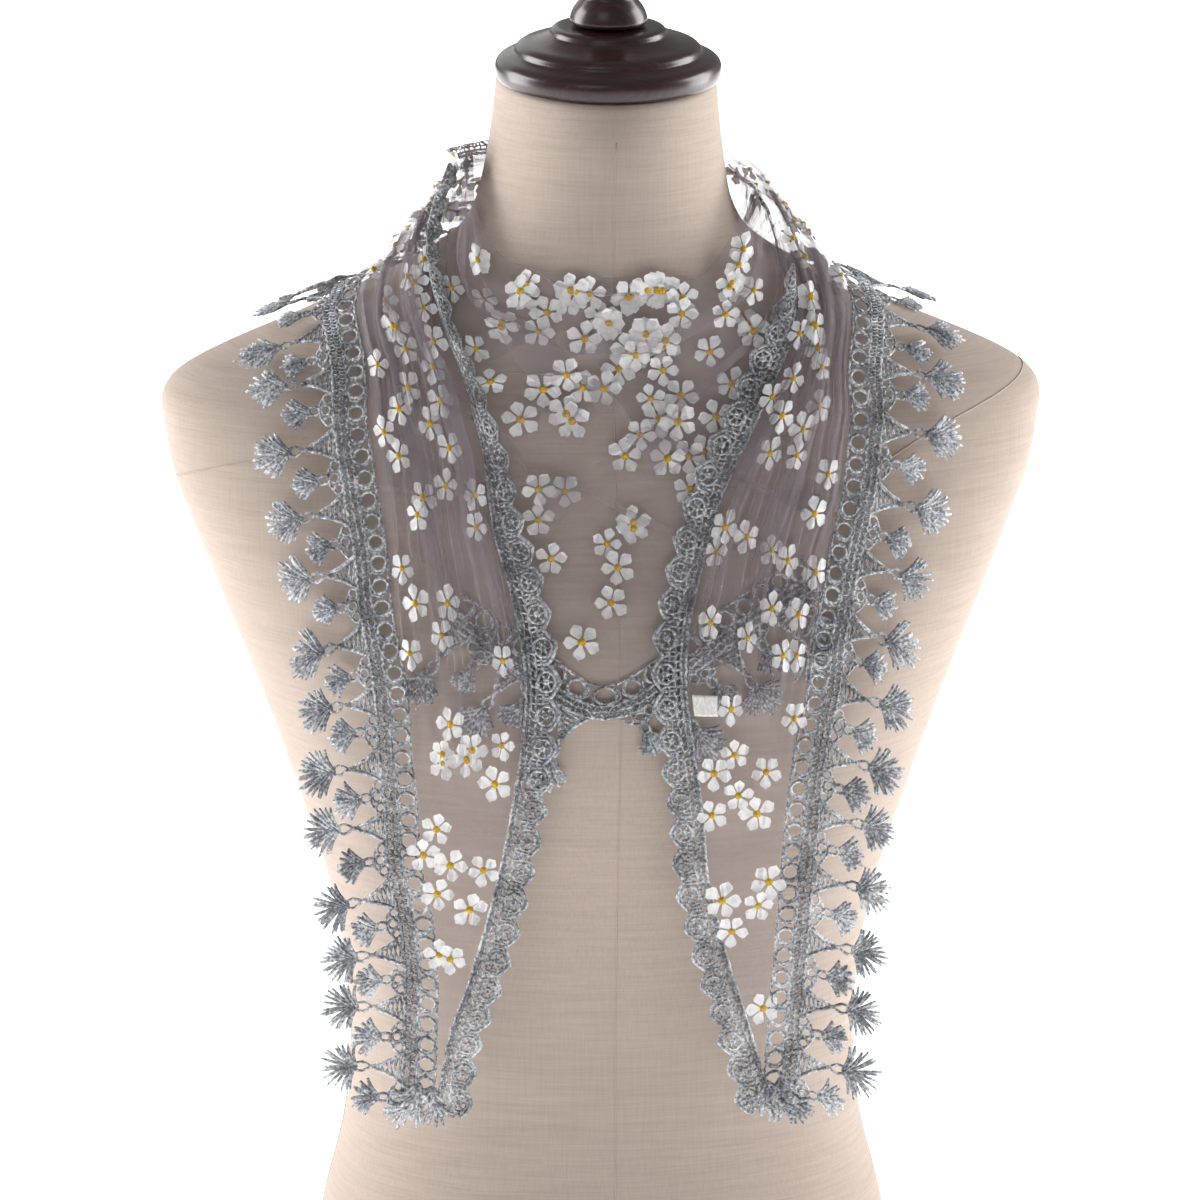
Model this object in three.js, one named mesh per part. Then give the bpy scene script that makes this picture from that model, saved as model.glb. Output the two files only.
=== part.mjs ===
// A lace-trimmed triangular shawl of sheer tulle, worn on a limbless dress form with a turned wooden neck cap.
// Millimetres, +Z up. The form stands on z = 0 with its axis on the Z axis, and its front faces -Y.
import * as THREE from "three";

// Form
const FORM_SIDES = 28;
const NECK_TOP = 618.2;
const NECK_LEAN_FROM = 586;
const NECK_ASIDE_FROM = 530;
const NECK_CENTRE = { x: 1.6, y: -14 };
const CAP_TILT = THREE.MathUtils.degToRad(6);
const CAP_GAP = 0.3;
const CAP_SIDES = 22;

// Cloth and lace
const CLOTH = 1.2;
const LACE = 1.0;
const SEAM_GAP = 0.9;
const POINT_GAP = 0.9;
const SPLIT_ANGLE = 0.6;
const INNER_LIFT = 2.1;
const OUTER_LIFT = 7;

// Wide lace: a row of loops, a dense band, then towers that carry a long and a short leaf by turns
const FRINGE_REPEAT = 28;
const LOOP_ROW = 9;
const LOOPS = 3;
const LOOP_LENGTH = 5.6;
const LOOP_WIDTH = 5.8;
const BAND_EDGE = 15.5;
const TOWER_TOP = 21;
const LEAF_HALF_WIDTH = 6.6;
const STALK_HALF_WIDTH = 1.4;

// Narrow lace: a straight braid with one scallop in each repeat
const SCALLOP_REPEAT = 14;
const SCALLOP_VALLEY = 11;
const SCALLOP_REACH = 15.8;

// Both laces run on past the tip of each end
const TAIL = 24;

// Tab
const TAB_WIDTH = 10.5;
const TAB_HEIGHT = 9;
const TAB_THICKNESS = 0.6;

const rad = THREE.MathUtils.degToRad;

function table(names, rows) {
  return rows.map((row) => Object.fromEntries(names.map((name, i) => [name, row[i]])));
}

// A smooth value of one column between the rows of a table whose first column only rises or only falls
function between(rows, key, at, column) {
  const rising = rows[rows.length - 1][key] > rows[0][key];
  const ordered = rising ? rows : [...rows].reverse();
  const last = ordered.length - 1;
  if (at <= ordered[0][key]) return ordered[0][column];
  if (at >= ordered[last][key]) return ordered[last][column];
  let i = 0;
  while (at > ordered[i + 1][key]) i += 1;
  const slope = (a, b) => (ordered[b][column] - ordered[a][column]) / (ordered[b][key] - ordered[a][key]);
  const step = ordered[i + 1][key] - ordered[i][key];
  const t = (at - ordered[i][key]) / step;
  const startSlope = slope(Math.max(i - 1, 0), i + 1);
  const endSlope = slope(i, Math.min(i + 2, last));
  const a = ordered[i][column];
  const b = ordered[i + 1][column];
  const t2 = t * t;
  const t3 = t2 * t;
  return (2 * t3 - 3 * t2 + 1) * a + (t3 - 2 * t2 + t) * step * startSlope
    + (3 * t2 - 2 * t3) * b + (t3 - t2) * step * endSlope;
}

// Level sections of the form: half width, and how far the front and the back stand from the axis
const FORM = table(["z", "half", "front", "back", "power"], [
  [0, 134, 94, 92, 2.2],
  [18, 136.5, 97, 95, 2.2],
  [60, 136, 96, 95, 2.2],
  [104, 127.6, 90, 90, 2.2],
  [146, 117.6, 85, 83, 2.2],
  [196, 115.2, 84, 80, 2.2],
  [249, 123, 91, 83, 2.2],
  [307, 140.6, 106, 88, 2.2],
  [340, 152, 112, 91, 2.2],
  [376, 165.5, 111, 94, 2.25],
  [403, 176, 103, 94.5, 2.3],
  [423, 183.6, 95, 93, 2.3],
  [445, 191.3, 87.5, 88, 2.3],
  [467, 195.2, 80, 82, 2.3],
  [480, 195.5, 76.5, 78, 2.2],
  [490, 187, 73, 75, 2.1],
  [500, 168, 70.5, 72, 2.0],
  [512, 139, 68.5, 69, 2.0],
  [524, 111, 67, 66, 2.0],
  [536, 86, 66, 62, 2.0],
  [549, 66, 65, 56.5, 2.0],
  [562, 57.3, 65, 51, 2.0],
  [577, 53.6, 65.5, 45.5, 2.0],
  [592, 51.2, 66.5, 42, 2.0],
  [606, 49.6, 65.5, 39, 2.0],
  [NECK_TOP, 48.4, 62.4, 34.4, 2.0],
]);

// Below the bust the ends of the shawl hang straight down, clear of the waist
const HANG_FROM = 384;
const HANG = table(["z", "half", "front", "power"], [
  [60, 192, 100, 2.6],
  [150, 193, 103, 2.6],
  [200, 194, 106, 2.6],
  [260, 195, 109.5, 2.6],
  [310, 193, 112, 2.55],
  [345, 183, 112.6, 2.45],
  [HANG_FROM, 168.5, 109.5, 2.25],
]);

// Beside the neck the cloth stands away from it
const COLLAR_FROM = 524;
const COLLAR = table(["z", "half"], [
  [COLLAR_FROM, 111],
  [536, 91],
  [549, 77],
  [562, 67],
  [577, 58.5],
  [592, 54],
  [NECK_TOP, 50],
]);

function formSection(z) {
  const pick = (column) => between(FORM, "z", z, column);
  return { half: pick("half"), front: pick("front"), back: pick("back"), power: pick("power") };
}

function restSection(z) {
  const section = formSection(z);
  if (z < HANG_FROM) {
    section.half = Math.max(section.half, between(HANG, "z", z, "half"));
    section.front = Math.max(section.front, between(HANG, "z", z, "front"));
    section.power = Math.max(section.power, between(HANG, "z", z, "power"));
  }
  if (z > COLLAR_FROM) section.half = Math.max(section.half, between(COLLAR, "z", z, "half"));
  return section;
}

// A point of a section at an angle from the front, which grows towards +X
function onSection(section, angle, z) {
  const side = Math.abs(Math.sin(angle)) / section.half;
  const depth = Math.abs(Math.cos(angle)) / (Math.cos(angle) > 0 ? section.front : section.back);
  const radius = (side ** section.power + depth ** section.power) ** (-1 / section.power);
  return new THREE.Vector3(radius * Math.sin(angle), -radius * Math.cos(angle), z);
}

// The surface that the cloth rests on, with its outward normal, and a point lifted off it
function rest(degrees, z, lift) {
  const angle = rad(degrees);
  const turn = 0.01;
  const rise = 1;
  const low = onSection(restSection(z - rise), angle, z - rise);
  const high = onSection(restSection(z + rise), angle, z + rise);
  const section = restSection(z);
  const before = onSection(section, angle - turn, z);
  const after = onSection(section, angle + turn, z);
  const normal = after.sub(before).cross(high.sub(low)).normalize();
  const point = onSection(section, angle, z).addScaledVector(normal, lift);
  return { point, normal };
}

// The point at a given lift that lies nearest to a point beside the rest surface
function settle(point, lift) {
  let result = { point: point.clone(), normal: new THREE.Vector3() };
  for (let turn = 0; turn < 3; turn += 1) {
    const degrees = THREE.MathUtils.radToDeg(Math.atan2(result.point.x, -result.point.y));
    const { point: ground, normal } = rest(degrees, result.point.z, 0);
    const height = result.point.clone().sub(ground).dot(normal);
    result = { point: result.point.clone().addScaledVector(normal, lift - height), normal };
  }
  return result;
}

function closedGeometry(positions, triangles) {
  let volume = 0;
  const corner = (i) => positions[i];
  for (const [a, b, c] of triangles) {
    volume += corner(a).dot(corner(b).clone().cross(corner(c)));
  }
  const facing = volume < 0 ? triangles.map(([a, b, c]) => [a, c, b]) : triangles;
  const geometry = new THREE.BufferGeometry();
  const flat = positions.flatMap((p) => [p.x, p.y, p.z]);
  geometry.setAttribute("position", new THREE.Float32BufferAttribute(flat, 3));
  geometry.setIndex(facing.flat());
  geometry.computeVertexNormals();
  return geometry;
}

// A closed cloth wall over a grid: place(across, along) gives the middle of the wall and its normal
function clothWall(columns, rows, place, thickness = CLOTH) {
  const outer = [];
  const inner = [];
  for (let j = 0; j <= rows; j += 1) {
    for (let i = 0; i <= columns; i += 1) {
      const { point, normal } = place(i / columns, j / rows);
      outer.push(point.clone().addScaledVector(normal, thickness / 2));
      inner.push(point.clone().addScaledVector(normal, -thickness / 2));
    }
  }
  const width = columns + 1;
  const under = outer.length;
  const triangles = [];
  for (let j = 0; j < rows; j += 1) {
    for (let i = 0; i < columns; i += 1) {
      const a = j * width + i;
      const b = a + 1;
      const c = a + width;
      const d = c + 1;
      triangles.push([a, b, d], [a, d, c]);
      triangles.push([under + a, under + d, under + b], [under + a, under + c, under + d]);
    }
  }
  const side = (a, b) => triangles.push([a, under + b, b], [a, under + a, under + b]);
  for (let i = 0; i < columns; i += 1) {
    side(i, i + 1);
    side(rows * width + i + 1, rows * width + i);
  }
  for (let j = 0; j < rows; j += 1) {
    side((j + 1) * width, j * width);
    side(j * width + columns, (j + 1) * width + columns);
  }
  return closedGeometry([...outer, ...inner], triangles);
}

// A closed plate over flat cells that share their edges: put(x, y, height) bends it onto a surface
function lacePlate(cells, put, thickness = LACE) {
  const flat = [];
  const seen = new Map();
  const index = (p) => {
    const key = `${p[0].toFixed(3)},${p[1].toFixed(3)}`;
    if (!seen.has(key)) {
      seen.set(key, flat.length);
      flat.push(p);
    }
    return seen.get(key);
  };
  const faces = [];
  for (const { outline, holes } of cells) {
    const shape = outline.map((p) => new THREE.Vector2(...p));
    const gaps = holes.map((hole) => hole.map((p) => new THREE.Vector2(...p)));
    const points = [...outline, ...holes.flat()].map(index);
    for (const face of THREE.ShapeUtils.triangulateShape(shape, gaps)) {
      const [a, b, c] = face.map((i) => points[i]);
      const turn = (flat[b][0] - flat[a][0]) * (flat[c][1] - flat[a][1])
        - (flat[b][1] - flat[a][1]) * (flat[c][0] - flat[a][0]);
      faces.push(turn > 0 ? [a, b, c] : [a, c, b]);
    }
  }
  const under = flat.length;
  const positions = [thickness / 2, -thickness / 2].flatMap((height) => flat.map(([x, y, stem]) => put(x, y, height, stem)));
  const triangles = faces.flatMap(([a, b, c]) => [[a, b, c], [under + a, under + c, under + b]]);
  const edges = new Set(faces.flatMap(([a, b, c]) => [`${a}_${b}`, `${b}_${c}`, `${c}_${a}`]));
  for (const edge of edges) {
    const [a, b] = edge.split("_").map(Number);
    if (!edges.has(`${b}_${a}`)) triangles.push([b, a, under + a], [b, under + a, under + b]);
  }
  return closedGeometry(positions, triangles);
}

// A stretch of cloth between two edges that a table gives by angle and height, row by row along it
function stretch(rows, lift) {
  const last = rows.length - 1;
  const indexed = rows.map((row, i) => ({ ...row, along: i / last }));
  return (across, along) => {
    const pick = (column) => between(indexed, "along", along, column);
    const degrees = THREE.MathUtils.lerp(pick("angleA"), pick("angleB"), across);
    const z = THREE.MathUtils.lerp(pick("zA"), pick("zB"), across);
    return rest(degrees, z, lift(across, along, degrees, z, pick));
  };
}

const EDGE_COLUMNS = ["angleA", "zA", "angleB", "zB"];

// The middle of the triangle on the chest, from the left shoulder round the front to the right one: A is its
// upper edge, the cowl, and B its lower edge, which comes to a point
const DRAPE = table(EDGE_COLUMNS, [
  [-97, 586, -97, 519],
  [-83, 583, -76, 515],
  [-69, 574, -61, 492],
  [-56, 562, -53, 458],
  [-42, 549, -45, 423],
  [-29, 544, -31, 404],
  [-17, 542, -18, 388],
  [-5, 540.5, -5, 371],
  [8, 539.5, 6, 379],
  [20, 539.5, 19, 396],
  [33, 541.5, 33, 412],
  [46, 553, 46, 427],
  [58, 564, 52, 457],
  [71, 576, 60, 492],
  [85, 583, 75, 516],
  [101, 578, 97, 516],
  [118, 556, 118, 512],
]);

// Draped folds of the cowl: the height of each at the front, how it climbs to the sides and where it fades
const COWL_FOLDS = table(["z", "tilt", "climb", "height", "spread"], [
  [537, 0, 22, 2.2, 4.5],
  [511, 0.05, 24, 3.6, 6],
  [487, -1.05, 6, 2.8, 6],
  [470, 0.7, 16, 2, 7],
  [446, -0.8, 14, 1.4, 8],
]);

function cowlRelief(degrees, z) {
  const side = Math.min(Math.abs(degrees) / 50, 1.6);
  return COWL_FOLDS.reduce((sum, fold) => {
    const centre = fold.z + fold.tilt * degrees + fold.climb * side ** 1.8;
    const fade = 1 - THREE.MathUtils.smoothstep(side, 0.8, 1.3);
    return sum + fold.height * fade * Math.exp(-(((z - centre) / fold.spread) ** 2));
  }, 0);
}

const drape = stretch(DRAPE, (across, along, degrees, z) => INNER_LIFT + cowlRelief(degrees, z));

// The two hanging ends, from the shoulder down: A is the inner edge with the narrow lace, B the outer edge
const END_LEFT = table([...EDGE_COLUMNS, "lift", "gather"], [
  [-79, 584, -82, 528, OUTER_LIFT, 3],
  [-76, 561, -74, 520, OUTER_LIFT, 3.4],
  [-67, 543, -66, 509, OUTER_LIFT, 3.4],
  [-54.6, 522, -60, 492, OUTER_LIFT, 3.2],
  [-45, 498, -56, 470, 6.8, 3],
  [-36.8, 468, -52, 444, 6.6, 2.8],
  [-31.1, 433, -48.5, 420, 5.8, 2.6],
  [-24.3, 402, -45.2, 393, 4.8, 2.2],
  [-20.8, 375, -41.5, 366, 4.3, 1.8],
  [-20.9, 350, -40.3, 342, 4.1, 1.4],
  [-22.7, 322, -39.1, 316, 4.1, 1.1],
  [-24.9, 296, -38.9, 291, 4.1, 0.8],
  [-28.2, 266, -37.3, 264, 4.1, 0.6],
  [-31.9, 238, -36.9, 238, 4.1, 0.4],
  [-34.8, 214, -37.9, 214, 4.1, 0.2],
  [-35.7, 198, -38.7, 198, 4.1, 0.2],
]);
const END_RIGHT = table([...EDGE_COLUMNS, "lift", "gather"], [
  [82, 572, 83, 531, OUTER_LIFT, 3],
  [70.6, 552, 75.5, 524, OUTER_LIFT, 3.4],
  [61.8, 532, 66, 512, OUTER_LIFT, 3.4],
  [54.2, 512, 58.8, 493, OUTER_LIFT, 3.2],
  [44.9, 490, 54.6, 470, 6.8, 3],
  [35.5, 466, 51, 447, 6.6, 2.8],
  [27, 442, 47.4, 428, 5.8, 2.6],
  [21, 418, 43.9, 409, 4.8, 2.2],
  [15.9, 392, 40.3, 388, 4.3, 1.8],
  [14.5, 368, 37.4, 364, 4.1, 1.4],
  [16, 340, 34.6, 339, 4.1, 1.1],
  [17.9, 312, 33.2, 312, 4.1, 0.8],
  [19.4, 282, 32.6, 284, 4.1, 0.6],
  [22.7, 254, 32.2, 256, 4.1, 0.4],
  [26.4, 226, 31.9, 228, 4.1, 0.2],
  [29.2, 198, 32.3, 198, 4.1, 0.2],
]);
const GATHERS = 4;

function gatheredLift(across, along, degrees, z, pick) {
  const inside = Math.sin(Math.PI * across) ** 0.6;
  const wave = 0.5 - 0.5 * Math.cos(2 * Math.PI * GATHERS * across + 5 * along);
  return pick("lift") + 2 * pick("gather") * inside * wave;
}

const endLeft = stretch(END_LEFT, gatheredLift);
const endRight = stretch(END_RIGHT, gatheredLift);

// The two bands behind the neck, both listed from the left side round the back to the right: A is the upper
// edge. The inner band carries the chest's left side on to the right end; the outer one carries the left end
// on to the chest's right side, and passes below the inner one where they change places
const WRAP_INNER = table([...EDGE_COLUMNS, "lift"], [
  [-97 - SPLIT_ANGLE, 586, -97 - SPLIT_ANGLE, 519, INNER_LIFT],
  [-120, 584, -120, 520, INNER_LIFT],
  [-150, 582, -150, 522, INNER_LIFT],
  [-180, 581, -180, 530, INNER_LIFT],
  [-205, 584, -205, 545, INNER_LIFT],
  [-225, 588, -225, 561, 3],
  [-242, 588, -242, 560, 5],
  [-256, 582, -256, 546, 6.2],
  [-278 + SPLIT_ANGLE, 572.5, -277 + SPLIT_ANGLE, 531.5, OUTER_LIFT],
]);
const WRAP_OUTER = table([...EDGE_COLUMNS, "lift"], [
  [-79 - SPLIT_ANGLE, 584, -82 - SPLIT_ANGLE, 528, OUTER_LIFT],
  [-100, 577, -100, 521, OUTER_LIFT],
  [-125, 576, -125, 516, OUTER_LIFT],
  [-150, 574, -150, 512, OUTER_LIFT],
  [-180, 570, -180, 508, OUTER_LIFT],
  [-205, 565, -205, 508, OUTER_LIFT],
  [-225, 555, -225, 510, 5],
  [-242 + SPLIT_ANGLE, 555, -242 + SPLIT_ANGLE, 512, INNER_LIFT],
]);
const BAND_FOLDS = 3;

function foldedLift(across, along, degrees, z, pick) {
  const inside = Math.sin(Math.PI * across) ** 0.7;
  const ends = Math.min(1, 6 * along, 6 * (1 - along));
  const wave = 0.5 - 0.5 * Math.cos(2 * Math.PI * BAND_FOLDS * across + 2 * along);
  return pick("lift") + 2.6 * inside * ends * wave;
}

const wrapInner = stretch(WRAP_INNER, foldedLift);
const wrapOuter = stretch(WRAP_OUTER, foldedLift);

// A flat strip beside one edge of a stretch: x runs along the edge from one place on it, y away from the cloth
function besideEdge(place, edge, from, to, outward, beyond = 0) {
  const samples = 160;
  const marks = [];
  let length = 0;
  for (let i = 0; i <= samples; i += 1) {
    const along = THREE.MathUtils.lerp(from, to, i / samples);
    const here = place(edge, along);
    if (i > 0) length += here.point.distanceTo(marks[i - 1].point);
    marks.push({ ...here, length });
  }
  const at = (x) => {
    const reach = THREE.MathUtils.clamp(x, 0, length);
    let i = 1;
    while (i < samples && marks[i].length < reach) i += 1;
    const a = marks[i - 1];
    const b = marks[i];
    const t = (reach - a.length) / (b.length - a.length);
    const spread = 5;
    const tangent = marks[Math.min(i + spread, samples)].point.clone().sub(marks[Math.max(i - spread, 0)].point);
    return {
      point: a.point.clone().lerp(b.point, t).addScaledVector(tangent.clone().normalize(), x - reach),
      normal: a.normal.clone().lerp(b.normal, t).normalize(),
      tangent: tangent.normalize(),
    };
  };
  // A point with a stem keeps its shape: it is laid out from the place of the stem on the edge
  const put = (x, y, height, stem = x) => {
    const edgePoint = at(stem);
    const away = edgePoint.normal.clone().cross(edgePoint.tangent).multiplyScalar(outward).normalize();
    const ground = settle(edgePoint.point, 0);
    const lift = edgePoint.point.distanceTo(ground.point);
    const aside = edgePoint.point.addScaledVector(edgePoint.tangent, x - stem);
    const settled = settle(aside.addScaledVector(away, y), lift);
    return settled.point.addScaledVector(settled.normal, height);
  };
  return { length: length + beyond, put };
}

// A leaf's outline from the left of its stalk round its tip to the right, as half widths at shares of its length
const LEAF = table(["share", "width"], [
  [0, 0.55],
  [0.34, 1],
  [0.74, 0.8],
]);

function leafOutline(x, { base, tip }) {
  const half = LEAF.map(({ share, width }) => [LEAF_HALF_WIDTH * width, base + share * (tip - base)]);
  const left = half.map(([w, y]) => [x - w, y]);
  const right = half.map(([w, y]) => [x + w, y]).reverse();
  return [[x - STALK_HALF_WIDTH, base - 1.6], ...left, [x, tip], ...right, [x + STALK_HALF_WIDTH, base - 1.6]];
}

function loopHole(x, y) {
  const l = LOOP_LENGTH / 2;
  const w = LOOP_WIDTH / 2;
  return [[x - l, y], [x, y - w], [x + l, y], [x, y + w]];
}

const LONG_LEAF = { centre: 0.25, base: 38, tip: 54 };
const SHORT_LEAF = { centre: 0.75, base: 24, tip: 36 };
const FOOT = 3.6;

// One repeat of the wide lace, whose size along the edge is stretched to fit it a whole number of times
function fringeCell(start, size, edgeSteps) {
  const x = (share) => start + share * size;
  const tower = (leaf, shoulder) => {
    const stem = x(leaf.centre);
    return [
      [stem - FOOT, BAND_EDGE],
      ...shoulder.map((half) => [stem - half, TOWER_TOP]),
      ...leafOutline(stem, leaf),
      ...shoulder.map((half) => [stem + half, TOWER_TOP]),
      [stem + FOOT, BAND_EDGE],
    ].map((point) => [...point, stem]);
  };
  const outline = [
    [x(0), SEAM_GAP],
    [x(0), BAND_EDGE],
    ...tower(LONG_LEAF, [STALK_HALF_WIDTH * 1.7]),
    ...tower(SHORT_LEAF, []),
    [x(1), BAND_EDGE],
    ...Array.from({ length: edgeSteps }, (_, i) => [x(1 - i / edgeSteps), SEAM_GAP]),
  ];
  const holes = Array.from({ length: LOOPS }, (_, i) => loopHole(x((i + 0.5) / LOOPS), LOOP_ROW / 2 + SEAM_GAP));
  return { outline, holes };
}

function fringe({ length, put }, edgeSteps = 3) {
  const count = Math.round(length / FRINGE_REPEAT);
  const size = length / count;
  const cells = Array.from({ length: count }, (_, i) => fringeCell(i * size, size, edgeSteps));
  return lacePlate(cells, put);
}

function scallopCell(start, size) {
  const x = (share) => start + share * size;
  const rim = table(["share", "reach"], [[0, 0], [0.2, 0.62], [0.5, 1], [0.8, 0.62], [1, 0]]);
  const reach = SCALLOP_REACH - SCALLOP_VALLEY;
  const outline = [
    [x(0), SEAM_GAP],
    ...rim.map((point) => [x(point.share), SCALLOP_VALLEY + reach * point.reach]),
    [x(1), SEAM_GAP],
  ];
  return { outline, holes: [] };
}

function edging({ length, put }) {
  const count = Math.round(length / SCALLOP_REPEAT);
  const size = length / count;
  const cells = Array.from({ length: count }, (_, i) => scallopCell(i * size, size));
  return lacePlate(cells, put);
}

function dressForm() {
  const levels = FORM.map((row) => row.z);
  const positions = [];
  for (const z of levels) {
    for (let k = 0; k < FORM_SIDES; k += 1) {
      const point = onSection(formSection(z), (2 * Math.PI * k) / FORM_SIDES, z);
      const lean = THREE.MathUtils.clamp((z - NECK_LEAN_FROM) / (NECK_TOP - NECK_LEAN_FROM), 0, 1);
      point.z += lean * Math.tan(CAP_TILT) * (point.y - NECK_CENTRE.y);
      point.x += NECK_CENTRE.x * THREE.MathUtils.smoothstep(z, NECK_ASIDE_FROM, NECK_TOP);
      positions.push(point);
    }
  }
  const triangles = [];
  for (let j = 0; j < levels.length - 1; j += 1) {
    for (let k = 0; k < FORM_SIDES; k += 1) {
      const a = j * FORM_SIDES + k;
      const b = j * FORM_SIDES + ((k + 1) % FORM_SIDES);
      triangles.push([a, b, b + FORM_SIDES], [a, b + FORM_SIDES, a + FORM_SIDES]);
    }
  }
  const top = (levels.length - 1) * FORM_SIDES;
  for (let k = 1; k < FORM_SIDES - 1; k += 1) {
    triangles.push([0, k + 1, k], [top, top + k, top + k + 1]);
  }
  return closedGeometry(positions, triangles);
}

// Turned profiles, as radius and height over the neck's top
const CAP_PROFILE = [
  [0, 0], [47.6, 0], [49.2, 1.6], [49.8, 5], [49.4, 8.2], [47, 10.4], [43, 11.6], [41, 12.6], [40.6, 14.8],
  [38, 16.6], [33, 17.6], [28.4, 19.2], [25.6, 20.6], [25.2, 22.6], [23, 24], [0, 24.4],
];
const KNOB_PROFILE = [
  [0, 0], [15.6, 0], [17, 1.6], [17, 3.6], [15.4, 7.6], [12.6, 11], [11.2, 12.6], [11.2, 14.4],
  [13, 16.6], [14.4, 20.6], [13.8, 25.4], [10, 30], [0, 32.6],
];
const CAP_HEIGHT = 24.4;

function turned(profile) {
  const geometry = new THREE.LatheGeometry(profile.map((p) => new THREE.Vector2(...p)), CAP_SIDES);
  return geometry.rotateX(Math.PI / 2);
}

const group = new THREE.Group();
const colours = { linen: 0xcfc2b4, wood: 0x2b1d18, tulle: 0x9a9099, lace: 0x8b9196, tab: 0xf2f0ec };

function add(name, geometry, colour, roughness, parent = group) {
  const mesh = new THREE.Mesh(geometry, new THREE.MeshStandardMaterial({ color: colour, roughness, metalness: 0 }));
  mesh.name = name;
  parent.add(mesh);
  return mesh;
}

function addForm() {
  add("dress_form", dressForm(), colours.linen, 0.9);
  const head = new THREE.Group();
  head.position.set(NECK_CENTRE.x, NECK_CENTRE.y, NECK_TOP + CAP_GAP);
  head.rotation.x = CAP_TILT;
  group.add(head);
  add("neck_cap", turned(CAP_PROFILE), colours.wood, 0.35, head);
  add("cap_knob", turned(KNOB_PROFILE), colours.wood, 0.35, head).position.z = CAP_HEIGHT + CAP_GAP;
}

function addCloth() {
  add("front_drape", clothWall(12, 30, drape), colours.tulle, 0.8);
  add("end_left", clothWall(14, 20, endLeft), colours.tulle, 0.8);
  add("end_right", clothWall(14, 20, endRight), colours.tulle, 0.8);
  add("wrap_inner", clothWall(7, 20, wrapInner), colours.tulle, 0.8);
  add("wrap_outer", clothWall(7, 18, wrapOuter), colours.tulle, 0.8);
}

function addLace() {
  const INNER_EDGE = 0;
  const OUTER_EDGE = 1;
  add("edging_left", edging(besideEdge(endLeft, INNER_EDGE, 0.02, 1, 1, TAIL)), colours.lace, 0.7);
  add("edging_right", edging(besideEdge(endRight, INNER_EDGE, 0.13, 1, -1, TAIL)), colours.lace, 0.7);
  add("edging_back", edging(besideEdge(wrapOuter, INNER_EDGE, 0.03, 0.74, -1)), colours.lace, 0.7);
  add("fringe_left", fringe(besideEdge(endLeft, OUTER_EDGE, 0, 1, -1, TAIL)), colours.lace, 0.7);
  add("fringe_right", fringe(besideEdge(endRight, OUTER_EDGE, 0, 1, 1, TAIL)), colours.lace, 0.7);
  const { length, put } = besideEdge(drape, OUTER_EDGE, 0.296, 0.664, -1);
  const belowPoint = { length, put: (x, y, height, stem) => put(x, y + POINT_GAP, height, stem) };
  add("fringe_point", fringe(belowPoint, 5), colours.lace, 0.7);
  add("fringe_back", fringe(besideEdge(wrapOuter, OUTER_EDGE, 0.12, 0.97, 1)), colours.lace, 0.7);
}

// The tab lies on the right end, against the cloth's inner edge: its place is given as shares of that stretch
const TAB_PLACE = { across: 0.03, along: 0.607, lift: 1.3 };
const TAB_SHARES = { across: TAB_WIDTH / 46, along: TAB_HEIGHT / 420 };

function tabMiddle(across, along) {
  const { point, normal } = endRight(
    TAB_PLACE.across + across * TAB_SHARES.across,
    TAB_PLACE.along + along * TAB_SHARES.along,
  );
  return { point: point.addScaledVector(normal, TAB_PLACE.lift), normal };
}

addForm();
addCloth();
addLace();
add("label_tab", clothWall(3, 1, tabMiddle, TAB_THICKNESS), colours.tab, 0.6);

export default group;
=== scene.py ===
import math

import bpy
import numpy as np
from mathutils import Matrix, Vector


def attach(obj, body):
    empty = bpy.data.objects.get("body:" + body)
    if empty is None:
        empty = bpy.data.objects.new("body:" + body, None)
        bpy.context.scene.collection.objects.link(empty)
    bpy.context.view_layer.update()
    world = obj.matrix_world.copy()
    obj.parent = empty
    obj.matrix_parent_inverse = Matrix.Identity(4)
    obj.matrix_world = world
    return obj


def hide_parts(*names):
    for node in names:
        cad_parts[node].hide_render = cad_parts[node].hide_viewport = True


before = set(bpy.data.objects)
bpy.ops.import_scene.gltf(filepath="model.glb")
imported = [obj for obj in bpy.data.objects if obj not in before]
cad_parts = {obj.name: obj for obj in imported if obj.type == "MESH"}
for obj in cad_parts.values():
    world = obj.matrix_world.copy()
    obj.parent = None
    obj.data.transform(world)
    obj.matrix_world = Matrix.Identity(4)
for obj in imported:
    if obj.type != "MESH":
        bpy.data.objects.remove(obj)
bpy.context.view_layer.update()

# Lengths are millimetres until a mesh is made; MM turns them into metres
MM = 0.001
rng = np.random.default_rng(11)

# The neck leans back to a tilted top, and a wooden cap and knob stand on it
NECK_TOP = 618.2
NECK_LEAN_FROM = 586
NECK_ASIDE_FROM = 530
NECK_CENTRE = (1.6, -14)
CAP_TILT = math.radians(6)
CAP_GAP = 0.3
CAP_HEIGHT = 24.4

# How far the lower and the upper layer of cloth lie off the form, and half the gap between two stretches
INNER_LIFT = 2.1
OUTER_LIFT = 7
SPLIT_ANGLE = 0.6

# The photo's side in pixels, the width that it shows at the target, and the camera that sees what it shows
PHOTO_PIXELS = 1200
FRAME_WIDTH = 540
CAMERA_TARGET = np.array([-1, 0, 381])
CAMERA_AZIMUTH = math.radians(-4)
CAMERA_ELEVATION = math.radians(13)
CAMERA_DISTANCE = 2500


def camera_axes():
    """The camera's way ahead, to the right and up."""
    ahead = np.array([
        -math.sin(CAMERA_AZIMUTH) * math.cos(CAMERA_ELEVATION),
        math.cos(CAMERA_AZIMUTH) * math.cos(CAMERA_ELEVATION),
        -math.sin(CAMERA_ELEVATION),
    ])
    right = np.cross(ahead, [0, 0, 1])
    right /= np.linalg.norm(right)
    return ahead, right, np.cross(right, ahead)


# Tables and smooth curves through them

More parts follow.
